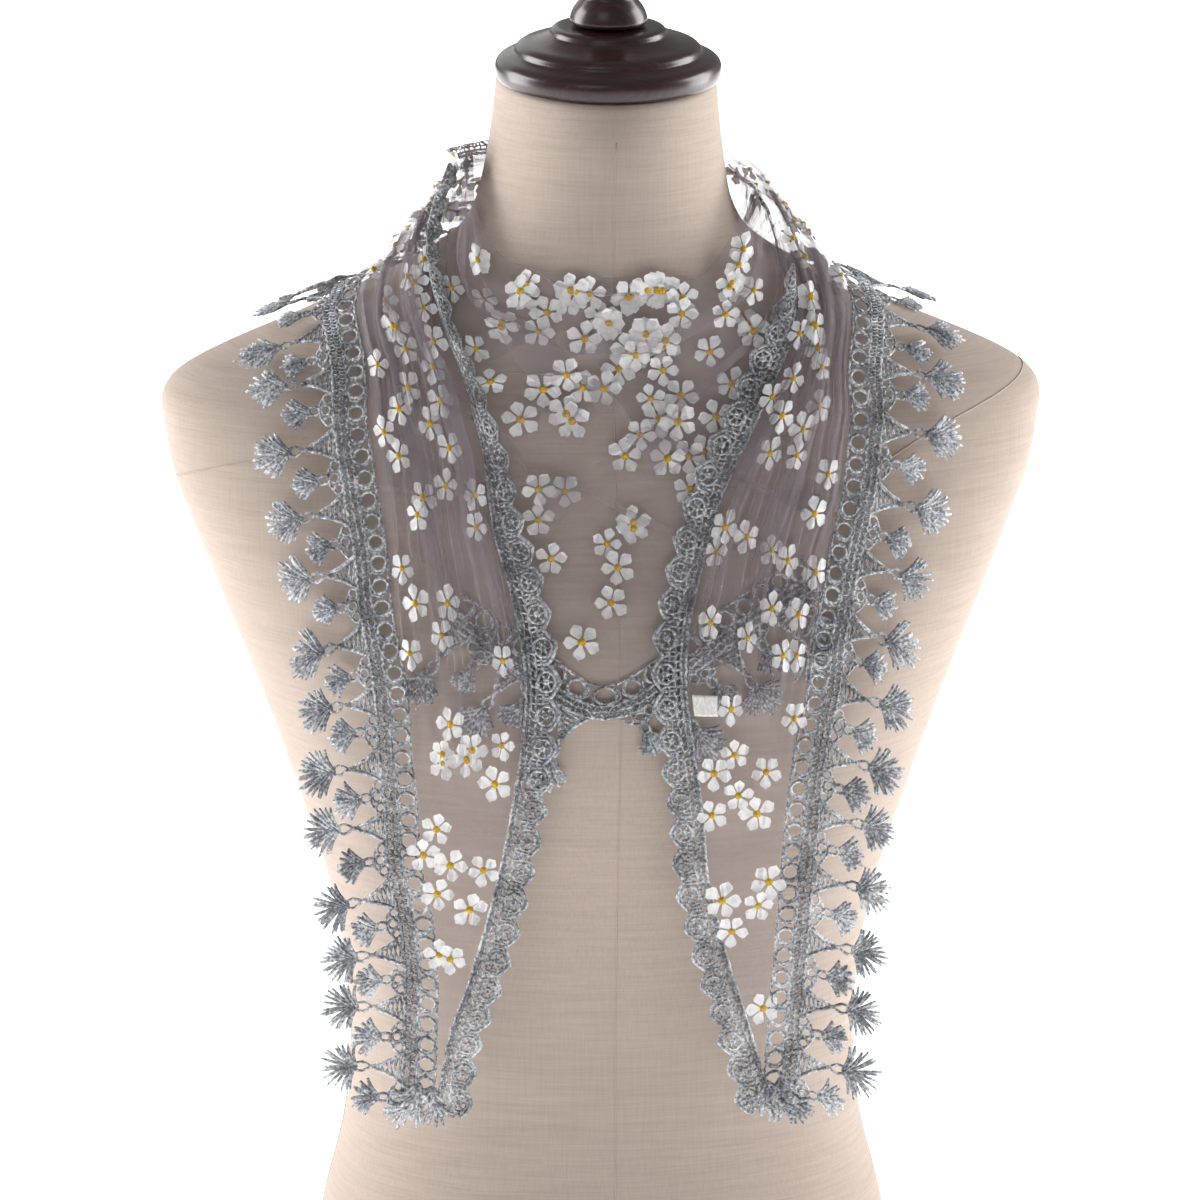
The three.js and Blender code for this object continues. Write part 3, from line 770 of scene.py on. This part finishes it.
def wave(start, end, y, reach, pitch, shift=0.0):
    count = max(2, int(round((end - start) / pitch * 4)))
    x = np.linspace(start, end, count + 1)
    uneven = reach * np.sin(2 * np.pi * (x - start) / pitch + shift) + rng.normal(0, 0.12, count + 1)
    return np.stack([x, y + uneven], axis=-1)


def zigzag(start, end, low, high, pitch):
    count = max(2, int(round((end - start) / pitch)) * 2)
    x = np.linspace(start, end, count + 1)
    x = x + rng.normal(0, 0.16, count + 1) * np.sin(np.pi * np.arange(count + 1) / count)
    y = np.where(np.arange(count + 1) % 2, high, low) + rng.normal(0, 0.2, count + 1)
    return np.stack([x, y], axis=-1)


def narrow_lace(name, strip, node, folded=(0, 1), closing=0):
    length, put = strip
    count = round(length / SCALLOP)
    size = length / count
    lace = Threads()
    lace.line(wave(0, length, 1.0, 0.12, 5), 0.8)
    lace.line(wave(0, length, 2.9, 0.12, 5, 1), 0.72)
    lace.line(zigzag(0, length, 0.9, 3.0, 1.7), 0.55, 0.35)
    lace.line(wave(0, length, 5.5, 0.4, size / 3), 0.68, 0.2)
    for i in range(count):
        left = i * size
        middle = left + size / 2
        for k in range(4):
            x = left + (k + 0.3) * size / 4
            lace.line([(x, 2.8), (x + 0.9, 4.1), (x + 1.3, 5.5)], 0.55, 0.15)
        for x in (left + 0.05, left + size * 0.14, left + size * 0.86):
            lean = (x - middle) * 0.16
            lace.line([(x, 5.4), (x + lean * 0.2, 8), (x + lean * 0.5, 10.8)], 0.6, 0.15)
        for bar in ([(0, 7.9), (0.1, 8.4), (0.2, 8.8)], [(0.8, 8.8), (0.9, 8.4), (1, 7.9)]):
            lace.line([(left + share * size, y) for share, y in bar], 0.5, 0.3)
        lace.ring(middle, 9.7, 4.1, 3.9, 0.78, 0.4, sides=10, turn=0.3)
        lace.ring(middle, 9.7, 0.9, 0.9, 0.85, 0.6, sides=6)
        for k in range(6):
            angle = 2 * math.pi * (k + 0.5) / 6
            lace.line([(middle + 1.2 * math.cos(angle), 9.7 + 1.2 * math.sin(angle)),
                       (middle + 4.0 * math.cos(angle), 9.7 + 3.7 * math.sin(angle))], 0.52, 0.25)
        rim = [(0, 10.8), (0.1, 12.2), (0.26, 13.8), (0.42, 15), (0.5, NARROW_DEPTH)]
        rim += [(1 - share, y) for share, y in rim[3::-1]]
        lace.line([(left + share * size, y) for share, y in rim], 0.85, 0.3)
        for share, y in ((0.3, 12.2), (0.5, 13.2), (0.7, 12.2)):
            end = 0.5 + (share - 0.5) * 1.2
            lace.line([(left + share * size, y), (left + end * size, y + 1.8)], 0.52, 0.2)
        lace.line([(left, 11), (left + 0.2, 9.6), (left, 7.9)], 0.6, 0.15)

    def laid(x, y, height, stem):
        """The lace as a folded ridge before folded[0], open past folded[1]."""
        up = 1 - smooth(folded[0], folded[1], stem)
        inward = closing * smooth(length - TIP_STRETCH, length, stem)
        ridge = 5.5 * up * np.sin(np.pi * np.clip(y / NARROW_DEPTH, 0, 1))
        narrow = (1 - 0.62 * up) * (0.3 + 0.7 * smooth(*HEAD_STRETCH, stem))
        return put(x, y * narrow - inward, height * (1 - 0.4 * up) + ridge + inward * 0.15, stem)

    return install(lace.build(name, laid), "lace", node)


def leaf_head(lace, stem, x, y, fingers, spread, reach, width, lively, side_reach):
    """Thick stitched fingers that leave a short rib to both sides and end apart."""
    t = np.linspace(0, 1, 5)[:, None]
    for k in range(fingers):
        share = 2 * k / (fingers - 1) - 1
        angle = share * spread + rng.normal(0, 0.04)
        long = reach * (1 - (1 - side_reach) * abs(share) ** 1.7) * (1 + rng.normal(0, 0.05))
        start = np.array([x, y + 0.3 * reach * (1 - abs(share))])
        end = np.array([x + long * math.sin(angle * 1.15), y + long * math.cos(angle * 1.15)])
        bend = np.array([x + 0.6 * long * math.sin(angle * 0.8), y + 0.6 * long * math.cos(angle * 0.8)])
        line = start * (1 - t) ** 2 + bend * 2 * t * (1 - t) + end * t ** 2
        height = 0.3 + 0.45 * (k % 2) + lively * t[:, 0] ** 2 * rng.uniform(0.1, 1.3)
        lace.line(line, width, height, stem, taper=np.array([0.55, 0.95, 1.1, 1.1, 0.75]))


def long_leaf(lace, centre, size, grown):
    base = min(7.4, size * 0.28)
    arm = [(base, 15), (base * 0.66, 18.5), (base * 0.36, 22.5), (1.1, 27)]
    twist = [(1.1, 27), (-0.6, 29), (0.9, 31), (2.1, 33.6), (1.6, 36.2), (0.2, 38)]
    for side in (-1, 1):
        lace.line([(centre + side * x, y) for x, y in arm], 0.82, 0.35, centre)
        lace.line([(centre + side * x, y) for x, y in twist], 0.72, 0.25 + 0.3 * side, centre)
    for k in range(6):
        y = 15.4 + k * 2
        half = base * (1 - 0.14 * k) * 0.88
        lace.line([(centre - half, y), (centre + half * 0.75, y + 2)], 0.42, 0.15, centre)
        lace.line([(centre + half, y), (centre - half * 0.75, y + 2)], 0.42, -0.15, centre)
    reach = (18.5 - 2.4 * grown) * (1 + rng.normal(0, 0.04))
    leaf_head(lace, centre, centre, 35.6, fingers=17, spread=0.66 + 0.55 * grown,
              reach=reach, width=0.9 - 0.2 * grown, lively=0.6 + grown, side_reach=0.66)


def short_leaf(lace, centre, grown):
    for dx, y in ((-5, 17), (0, 18.2), (5, 17)):
        lace.ring(centre + dx, y, 2.2, 2.1, 0.7, 0.3, centre, sides=9)
    arch = [(-8, 15), (-6.4, 18.6), (-3, 20.8), (0, 21.4), (3, 20.8), (6.4, 18.6), (8, 15)]
    lace.line([(centre + dx, y) for dx, y in arch], 0.6, 0.1, centre)
    lace.ring(centre, 23.4, 1.9, 2.7, 0.75, 0.35, centre, sides=10)
    reach = 12.4 * (1 + rng.normal(0, 0.05))
    for side in (-1, 1):
        leaf_head(lace, centre, centre + side * 0.6, 25, fingers=7, spread=0.55 + 0.3 * grown,
                  reach=reach, width=0.86, lively=0.5 + 0.7 * grown, side_reach=0.8)


# The bunched last leaves where both laces of an end meet: place before the tip, place aside, heading
TIP_LEAVES = [
    (-14, 2, 0.3), (-10, 9, 1.0), (-7, 0, -0.2), (-5, 7, 0.5), (-3, 13, 0.9), (-15, 8, 0.1),
]


def tip_knot(lace, length):
    for x, y, heading in TIP_LEAVES:
        for k in range(9):
            angle = heading + (k / 4 - 1) * 0.85 + rng.normal(0, 0.08)
            long = 10 * rng.uniform(0.7, 1.15)
            t = np.linspace(0, 1, 4)
            towards = np.array([math.cos(angle), math.sin(angle)])
            line = np.array([length + x, y]) + long * t[:, None] * towards
            height = 0.6 + 2.4 * rng.random() * np.sin(np.pi * t * 0.8)
            lace.line(line, 0.85, height, length, taper=np.array([0.8, 1.1, 1.1, 0.7]))


def wide_lace(name, strip, node, gap=0.0, closing=0, shorter=0.0, lean=0.0):
    length, put = strip
    count = round(length / LEAF_PAIR)
    size = length / count
    lace = Threads()
    for y, radius, shift in ((9.4, 0.85, 0), (12.2, 0.75, 2), (15, 0.85, 4)):
        lace.line(wave(0, length, y, 0.35, 4.2, shift), radius, 0.3)
    lace.line(zigzag(0, length, 9.4, 12.4, 1.9), 0.62, 0.5)
    lace.line(zigzag(1, length, 12.2, 15.2, 2.1), 0.62, 0.45)
    lace.line(zigzag(0.6, length, 9.8, 15.2, 2.9), 0.55, -0.2)
    lace.line(wave(0, length, 0.9, 0.25, 3.1), 0.55, 0.1)
    for i in range(count):
        left = i * size
        grown = left / length
        for k in range(3):
            x = left + (k + 0.5) * size / 3 + rng.normal(0, 0.2)
            lace.ring(x, 5.0, 3.5 * rng.uniform(0.92, 1.06), 3.7, 0.74, 0.3, sides=10, turn=rng.random())
            lace.ring(x + 0.4, 5.4, 4.4, 4.0, 0.5, -0.05, sides=8, turn=rng.random())
        long_leaf(lace, left + size * 0.25, size, grown)
        short_leaf(lace, left + size * 0.75, grown)
    if closing:
        tip_knot(lace, length)

    def shifted(x, y, height, stem):
        """The lace with leaves that shrink towards both ends, lean towards the tip and close in there."""
        small = 1 - shorter * (1 - smooth(0, TIP_STRETCH, stem) * smooth(0, TIP_STRETCH, length - stem))
        inward = closing * smooth(length - TIP_STRETCH, length, stem)
        leaves = np.maximum(y - LEAVES_FROM, 0)
        leaning = x + leaves * lean * smooth(0, length, stem)
        return put(leaning, y - leaves * (1 - small) + gap - inward, height, stem)

    return install(lace.build(name, shifted), "lace", node)


# Flowers that the photo shows, each by the pixel of its eye, counted right and down from the top left corner

SEEN_FRONT = [
    (454, 289), (481, 262), (513, 271), (517, 288), (502, 327), (538, 331), (480, 350), (576, 293),
    (610, 319), (627, 298), (629, 350), (567, 374), (582, 387), (602, 389), (541, 392), (493, 387),
    (519, 424), (563, 415), (575, 422), (539, 487), (564, 493), (540, 521), (552, 558), (606, 541),
    (617, 565), (634, 524), (629, 458), (610, 600), (581, 645), (752, 291), (749, 332), (725, 314),
    (706, 278), (658, 291), (631, 298), (648, 329), (665, 343), (634, 353), (662, 370), (649, 398),
    (677, 426), (641, 435), (665, 459), (689, 456), (686, 490), (716, 418), (634, 526), (480, 264),
    (727, 247), (736, 264), (710, 273), (694, 282), (661, 294), (589, 297), (570, 291), (646, 285),
    (679, 318), (504, 324), (610, 318), (646, 333),
]
SEEN_LEFT = [
    (404, 252), (413, 281), (387, 304), (380, 368), (434, 343), (435, 370), (441, 404), (399, 332),
    (386, 433), (399, 456), (451, 450), (445, 485), (420, 517), (476, 497), (476, 528), (404, 569),
    (417, 606), (448, 606), (442, 634), (412, 656), (504, 661), (452, 722), (442, 754), (473, 750),
    (502, 743), (408, 352), (424, 500), (438, 264), (420, 288), (402, 252), (396, 330), (378, 276),
    (425, 310), (430, 425), (410, 390), (400, 410), (443, 764), (468, 760), (495, 781), (436, 827),
    (419, 855), (450, 863), (484, 870), (437, 894), (470, 910), (435, 955), (450, 957),
]
SEEN_RIGHT = [
    (807, 302), (808, 329), (836, 281), (779, 419), (768, 456), (794, 457), (826, 473), (812, 514),
    (746, 537), (723, 526), (715, 555), (771, 552), (786, 562), (814, 574), (769, 611), (795, 613),
    (710, 624), (746, 639), (795, 656), (779, 654), (730, 709), (792, 719), (734, 754), (792, 380),
    (819, 370), (818, 408), (775, 249), (793, 222), (805, 300), (811, 330), (835, 282), (800, 260),
    (815, 350), (780, 330), (800, 430), (770, 400), (713, 775), (738, 795), (766, 770), (712, 816),
    (757, 814), (722, 899), (758, 906), (768, 881), (732, 932), (763, 1009),
]
SEEN_OUTER = [
    (456, 213), (414, 234), (440, 190), (475, 160), (430, 215), (465, 240),
]
SEEN_INNER = [
    (748, 231), (817, 210), (770, 200), (800, 240), (755, 190), (790, 225),
]

# Flowers that it doesn't show, each as shares across and along its stretch

HIDDEN_FRONT = [
    (0.3, 0.08), (0.6, 0.05), (0.25, 0.91), (0.6, 0.94),
]
HIDDEN_OUTER = [
    (0.25, 0.06), (0.7, 0.1), (0.45, 0.18), (0.75, 0.24), (0.25, 0.3), (0.55, 0.37), (0.82, 0.42),
    (0.35, 0.48), (0.65, 0.55), (0.28, 0.62), (0.78, 0.66), (0.5, 0.74), (0.72, 0.82), (0.35, 0.88),
    (0.62, 0.94),
]
HIDDEN_INNER = [
    (0.3, 0.08), (0.7, 0.14), (0.25, 0.24), (0.6, 0.3), (0.4, 0.38), (0.75, 0.46), (0.3, 0.52),
    (0.55, 0.6), (0.4, 0.7), (0.65, 0.8), (0.35, 0.88), (0.6, 0.95),
]
HIDDEN_WITHIN = [
    (0.4, 0.3), (0.6, 0.34), (0.35, 0.38), (0.8, 0.41), (0.45, 0.44), (0.75, 0.47), (0.5, 0.5),
    (0.85, 0.53), (0.4, 0.55), (0.65, 0.57), (0.9, 0.59), (0.45, 0.62), (0.75, 0.64), (0.55, 0.68),
    (0.5, 0.24), (0.6, 0.73),
]


def seen_at(place, pixels):
    """The shares across and along a stretch at which the photo shows it under the given pixels."""
    across, along = np.meshgrid(np.linspace(0.03, 0.97, 60), np.linspace(0.01, 0.99, 200))
    across, along = across.ravel(), along.ravel()
    points, normals = place(across, along)
    ahead, right, up = camera_axes()
    from_target = points - CAMERA_TARGET
    scale = PHOTO_PIXELS / FRAME_WIDTH * CAMERA_DISTANCE / (CAMERA_DISTANCE + from_target @ ahead)
    x = PHOTO_PIXELS / 2 + from_target @ right * scale
    y = PHOTO_PIXELS / 2 - from_target @ up * scale
    far_pixels, facing = 50, -0.05
    turned_away = far_pixels * (normals @ ahead > facing)
    nearest = [(np.hypot(x - right_of, y - down) + turned_away).argmin() for right_of, down in pixels]
    return [(across[i], along[i]) for i in nearest]


PETALS = 5
PETAL_ROWS, PETAL_COLUMNS = 6, 4
EYE_SIDES = 8


def petal_shape():
    """One petal as a grid of flat points with heights, growing along +y from the flower's middle."""
    v = np.linspace(0, 1, PETAL_ROWS + 1)[:, None]
    u = np.linspace(-1, 1, PETAL_COLUMNS + 1)[None, :]
    grow = 0.6 + 2.1 * smooth(-0.05, 0.66, v)
    close = np.sqrt(np.clip(1 - (np.clip(v - 0.62, 0, 1) / 0.39) ** 2, 0, 1))
    x = grow * close * u
    y = 1.3 + 6.6 * v * (1 - 0.07 * u * u * v)
    height = 0.3 + 0.6 * v * v + 0.14 * np.abs(u) * v
    return x + 0 * v, y + 0 * u, height + 0 * u


def eye_shape():
    """A raised button: its middle, a ring at its brim and a ring at its foot."""
    angle = 2 * np.pi * np.arange(EYE_SIDES) / EYE_SIDES
    x = np.concatenate([[0], 1.1 * np.cos(angle), 1.8 * np.cos(angle)])
    y = np.concatenate([[0], 1.1 * np.sin(angle), 1.8 * np.sin(angle)])
    height = np.concatenate([[1.5], np.full(EYE_SIDES, 1.35), np.full(EYE_SIDES, 0.3)])
    ring = [1 + k for k in range(EYE_SIDES)]
    pairs = list(zip(ring, ring[1:] + ring[:1]))
    faces = [[0, a, b] for a, b in pairs]
    faces += [[a, a + EYE_SIDES, b + EYE_SIDES, b] for a, b in pairs]
    return x, y, height, faces


def add_flowers(name, place, crowd, high, seen, hidden):
    """Flowers at pixels of the photo and at shares of a stretch, bent with its folds where it is gathered."""
    petal_x, petal_y, petal_height = (part.reshape(-1) for part in petal_shape())
    petal_faces = grid_faces(PETAL_ROWS, PETAL_COLUMNS)
    eye_x, eye_y, eye_height, eye_faces = eye_shape()
    points, faces, slots = [], [], []
    count = 0

    def lay(across, along, x, y, height, bent, stand):
        centre, normal = place(np.array([float(across)]), np.array([float(along)]))
        ahead, _ = place(np.array([float(across)]), np.array([float(along) + 0.004]))
        first = unit(ahead - centre)
        second = np.cross(normal, first)
        ground, _ = settle(centre, np.zeros(1))
        lift = np.linalg.norm(centre - ground, axis=-1)[0] + high * bent * stand
        squeezed = y * (1 - 0.3 * bent)
        flat = centre + first * x[:, None] + second * squeezed[:, None]
        settled, out = settle(flat, np.full(len(x), lift))
        return settled + out * (height - 0.42 * bent * np.abs(y))[:, None]

    for across, along in seen_at(place, seen) + hidden:
        tight = float(between(crowd, "along", np.clip(along, 0, 1), "turn"))
        bent = float(smooth(0.3, 1.6, tight))
        stand = rng.uniform(0.35, 1.05)
        turn = rng.uniform(0, 2 * np.pi)
        grow = rng.uniform(0.9, 1.1)
        tip = rng.uniform(-0.1, 0.1, 2)
        for k in range(PETALS):
            angle = turn + 2 * np.pi * k / PETALS + rng.normal(0, 0.08)
            size = grow * rng.uniform(0.92, 1.06)
            x = size * (petal_x * math.cos(angle) - petal_y * math.sin(angle))
            y = size * (petal_x * math.sin(angle) + petal_y * math.cos(angle))
            height = petal_height + x * tip[0] + y * tip[1] + 0.12 * k + 0.4
            points.append(lay(across, along, x, y, height, bent, stand))
            faces += (petal_faces + count).tolist()
            slots += [0] * len(petal_faces)
            count += len(petal_x)
        points.append(lay(across, along, eye_x * grow, eye_y * grow, eye_height + 0.6, bent, stand))
        faces += [[i + count for i in face] for face in eye_faces]
        slots += [1] * len(eye_faces)
        count += len(eye_x)
    piece = mesh_object(name, np.concatenate(points), faces, [petal, eye], slots)
    return install(piece, "tulle")


# The sewn-in tab: its corner as shares of the right end, its size, and the end's size there

TAB_PLACE = (0.03, 0.607)
TAB_SIZE = (10.5, 9)
END_SIZE = (46, 420)


def make_tab():
    columns, rows = 10, 8
    u, v = np.meshgrid(np.linspace(0, 1, columns + 1), np.linspace(0, 1, rows + 1))
    curl = 0.5 * np.sin(np.pi * u) + 0.5 * v ** 2
    across = TAB_PLACE[0] + u * TAB_SIZE[0] / END_SIZE[0]
    along = TAB_PLACE[1] + v * TAB_SIZE[1] / END_SIZE[1]
    points = np.concatenate([end_right(across, along, side + curl)[0].reshape(-1, 3) for side in (1.9, 1.4)])
    under = (columns + 1) * (rows + 1)
    top = grid_faces(rows, columns)
    faces = top.tolist() + (top[:, ::-1] + under).tolist()
    grid = np.arange(under).reshape(rows + 1, columns + 1)
    rim = [*grid[0], *grid[1:, -1], *grid[-1, -2::-1], *grid[-2:0:-1, 0]]
    faces += [[b, a, a + under, b + under] for a, b in zip(rim, rim[1:] + rim[:1])]
    return install(mesh_object("tab_tape", points, faces, [tape]), "tab", "label_tab")


make_form()
make_seams()
make_turned("cap_wood", CAP_PROFILE, 0, "neck_cap")
make_turned("knob_wood", KNOB_PROFILE, CAP_HEIGHT + CAP_GAP, "cap_knob")

cloth_front = make_drape()
cloth_left = cloth_mesh("cloth_left", end_left, GATHER_END, folds=8, columns=180, rows=170, limit=6.5,
                        node="end_left")
cloth_right = cloth_mesh("cloth_right", end_right, GATHER_END, folds=9, columns=190, rows=170, limit=6.5,
                         node="end_right")
cloth_inner = cloth_mesh("cloth_inner", wrap_inner, GATHER_WRAP, folds=8, columns=160, rows=150, limit=5,
                         node="wrap_inner")
cloth_outer = cloth_mesh("cloth_outer", wrap_outer, GATHER_WRAP, folds=8, columns=160, rows=150, limit=5.4,
                         node="wrap_outer")

lace_left = narrow_lace("lace_edge_left", beside_edge(end_left, 0, 0.02, 1, 1, TAIL), "edging_left",
                        folded=(90, 200), closing=5)
lace_right = narrow_lace("lace_edge_right", beside_edge(end_right, 0, 0.13, 1, -1, TAIL), "edging_right",
                         folded=(-25, 65), closing=5)
lace_back = narrow_lace("lace_edge_back", beside_edge(wrap_outer, 0, 0.03, 0.74, -1), "edging_back",
                        folded=(30, 110))
leaf_left = wide_lace("leaf_lace_left", beside_edge(end_left, 1, 0, 1, -1, TAIL), "fringe_left",
                      closing=3, lean=0.14)
leaf_right = wide_lace("leaf_lace_right", beside_edge(end_right, 1, 0, 1, 1, TAIL), "fringe_right",
                       closing=3, lean=0.26)
leaf_point = wide_lace("leaf_lace_point", beside_edge(drape, 1, 0.296, 0.664, -1), "fringe_point", gap=0.9)
leaf_back = wide_lace("leaf_lace_back", beside_edge(wrap_outer, 1, 0.12, 0.97, 1), "fringe_back", shorter=0.6)

flowers_front = add_flowers("flowers_front", drape_folded, GATHER_DRAPE, 2.4, SEEN_FRONT, HIDDEN_FRONT)
flowers_within = add_flowers("flowers_within", turned_in, GATHER_DRAPE, 0, [], HIDDEN_WITHIN)
flowers_left = add_flowers("flowers_left", end_left, GATHER_END, 4.6, SEEN_LEFT, [])
flowers_right = add_flowers("flowers_right", end_right, GATHER_END, 4.6, SEEN_RIGHT, [])
flowers_inner = add_flowers("flowers_inner", wrap_inner, GATHER_WRAP, 3.2, SEEN_INNER, HIDDEN_INNER)
flowers_outer = add_flowers("flowers_outer", wrap_outer, GATHER_WRAP, 3.4, SEEN_OUTER, HIDDEN_OUTER)
tab = make_tab()


# Floor, light and camera; lights are in metres and watts

def make_floor():
    nodes = Nodes("floor_paper")
    nodes.set(Base_Color=(0.93, 0.93, 0.925, 1), Roughness=0.9)
    corners = [(-14000, -9000, 0), (14000, -9000, 0), (14000, 16000, 0), (-14000, 16000, 0)]
    floor = mesh_object("floor", corners, [[0, 1, 2, 3]], [nodes.material], smooth_shaded=False)
    return floor


def add_light(name, place, size, power, aim=(0, 0, 0.4)):
    light = bpy.data.lights.new(name, "AREA")
    light.shape = "RECTANGLE"
    light.size, light.size_y = size
    light.energy = power
    lamp = bpy.data.objects.new(name, light)
    lamp.location = place
    lamp.rotation_mode = "QUATERNION"
    lamp.rotation_quaternion = (Vector(aim) - Vector(place)).to_track_quat("-Z", "Y")
    bpy.context.scene.collection.objects.link(lamp)
    return lamp


SENSOR_WIDTH = 36
CLIP_RANGE = (0.05, 60)
SURROUND_LIGHT = 0.24


def make_world():
    world = bpy.data.worlds.new("studio")
    world.use_nodes = True
    background = world.node_tree.nodes["Background"]
    background.inputs["Color"].default_value = (1, 1, 1, 1)
    background.inputs["Strength"].default_value = SURROUND_LIGHT
    bpy.context.scene.world = world


def make_camera():
    ahead = Vector(camera_axes()[0])
    data = bpy.data.cameras.new("camera")
    data.sensor_width = SENSOR_WIDTH
    data.lens = SENSOR_WIDTH * CAMERA_DISTANCE / FRAME_WIDTH
    data.clip_start, data.clip_end = CLIP_RANGE
    camera = bpy.data.objects.new("camera", data)
    camera.location = Vector(CAMERA_TARGET * MM) - ahead * CAMERA_DISTANCE * MM
    camera.rotation_mode = "QUATERNION"
    camera.rotation_quaternion = ahead.to_track_quat("-Z", "Y")
    bpy.context.scene.collection.objects.link(camera)
    bpy.context.scene.camera = camera


bpy.context.scene.view_settings.view_transform = "Standard"
floor = make_floor()
make_world()
# The wash falls on the floor alone, so that the form's back isn't bleached
floor_only = bpy.data.collections.new("floor_only")
floor_only.objects.link(floor)
wash = add_light("floor_wash", (0, 4.2, 3.4), (6, 4), 500, aim=(0, 3.2, 0))
wash.light_linking.receiver_collection = floor_only
add_light("back_soft", (-0.8, 2.4, 1.6), (1.6, 1.6), 6)
add_light("side_left", (-2.2, 0.7, 1.0), (1.4, 2.2), 74)
add_light("side_right", (2.2, 0.5, 1.0), (1.4, 2.2), 66)
add_light("front_top", (-0.9, -2.2, 2.3), (1.4, 1.4), 5)
make_camera()
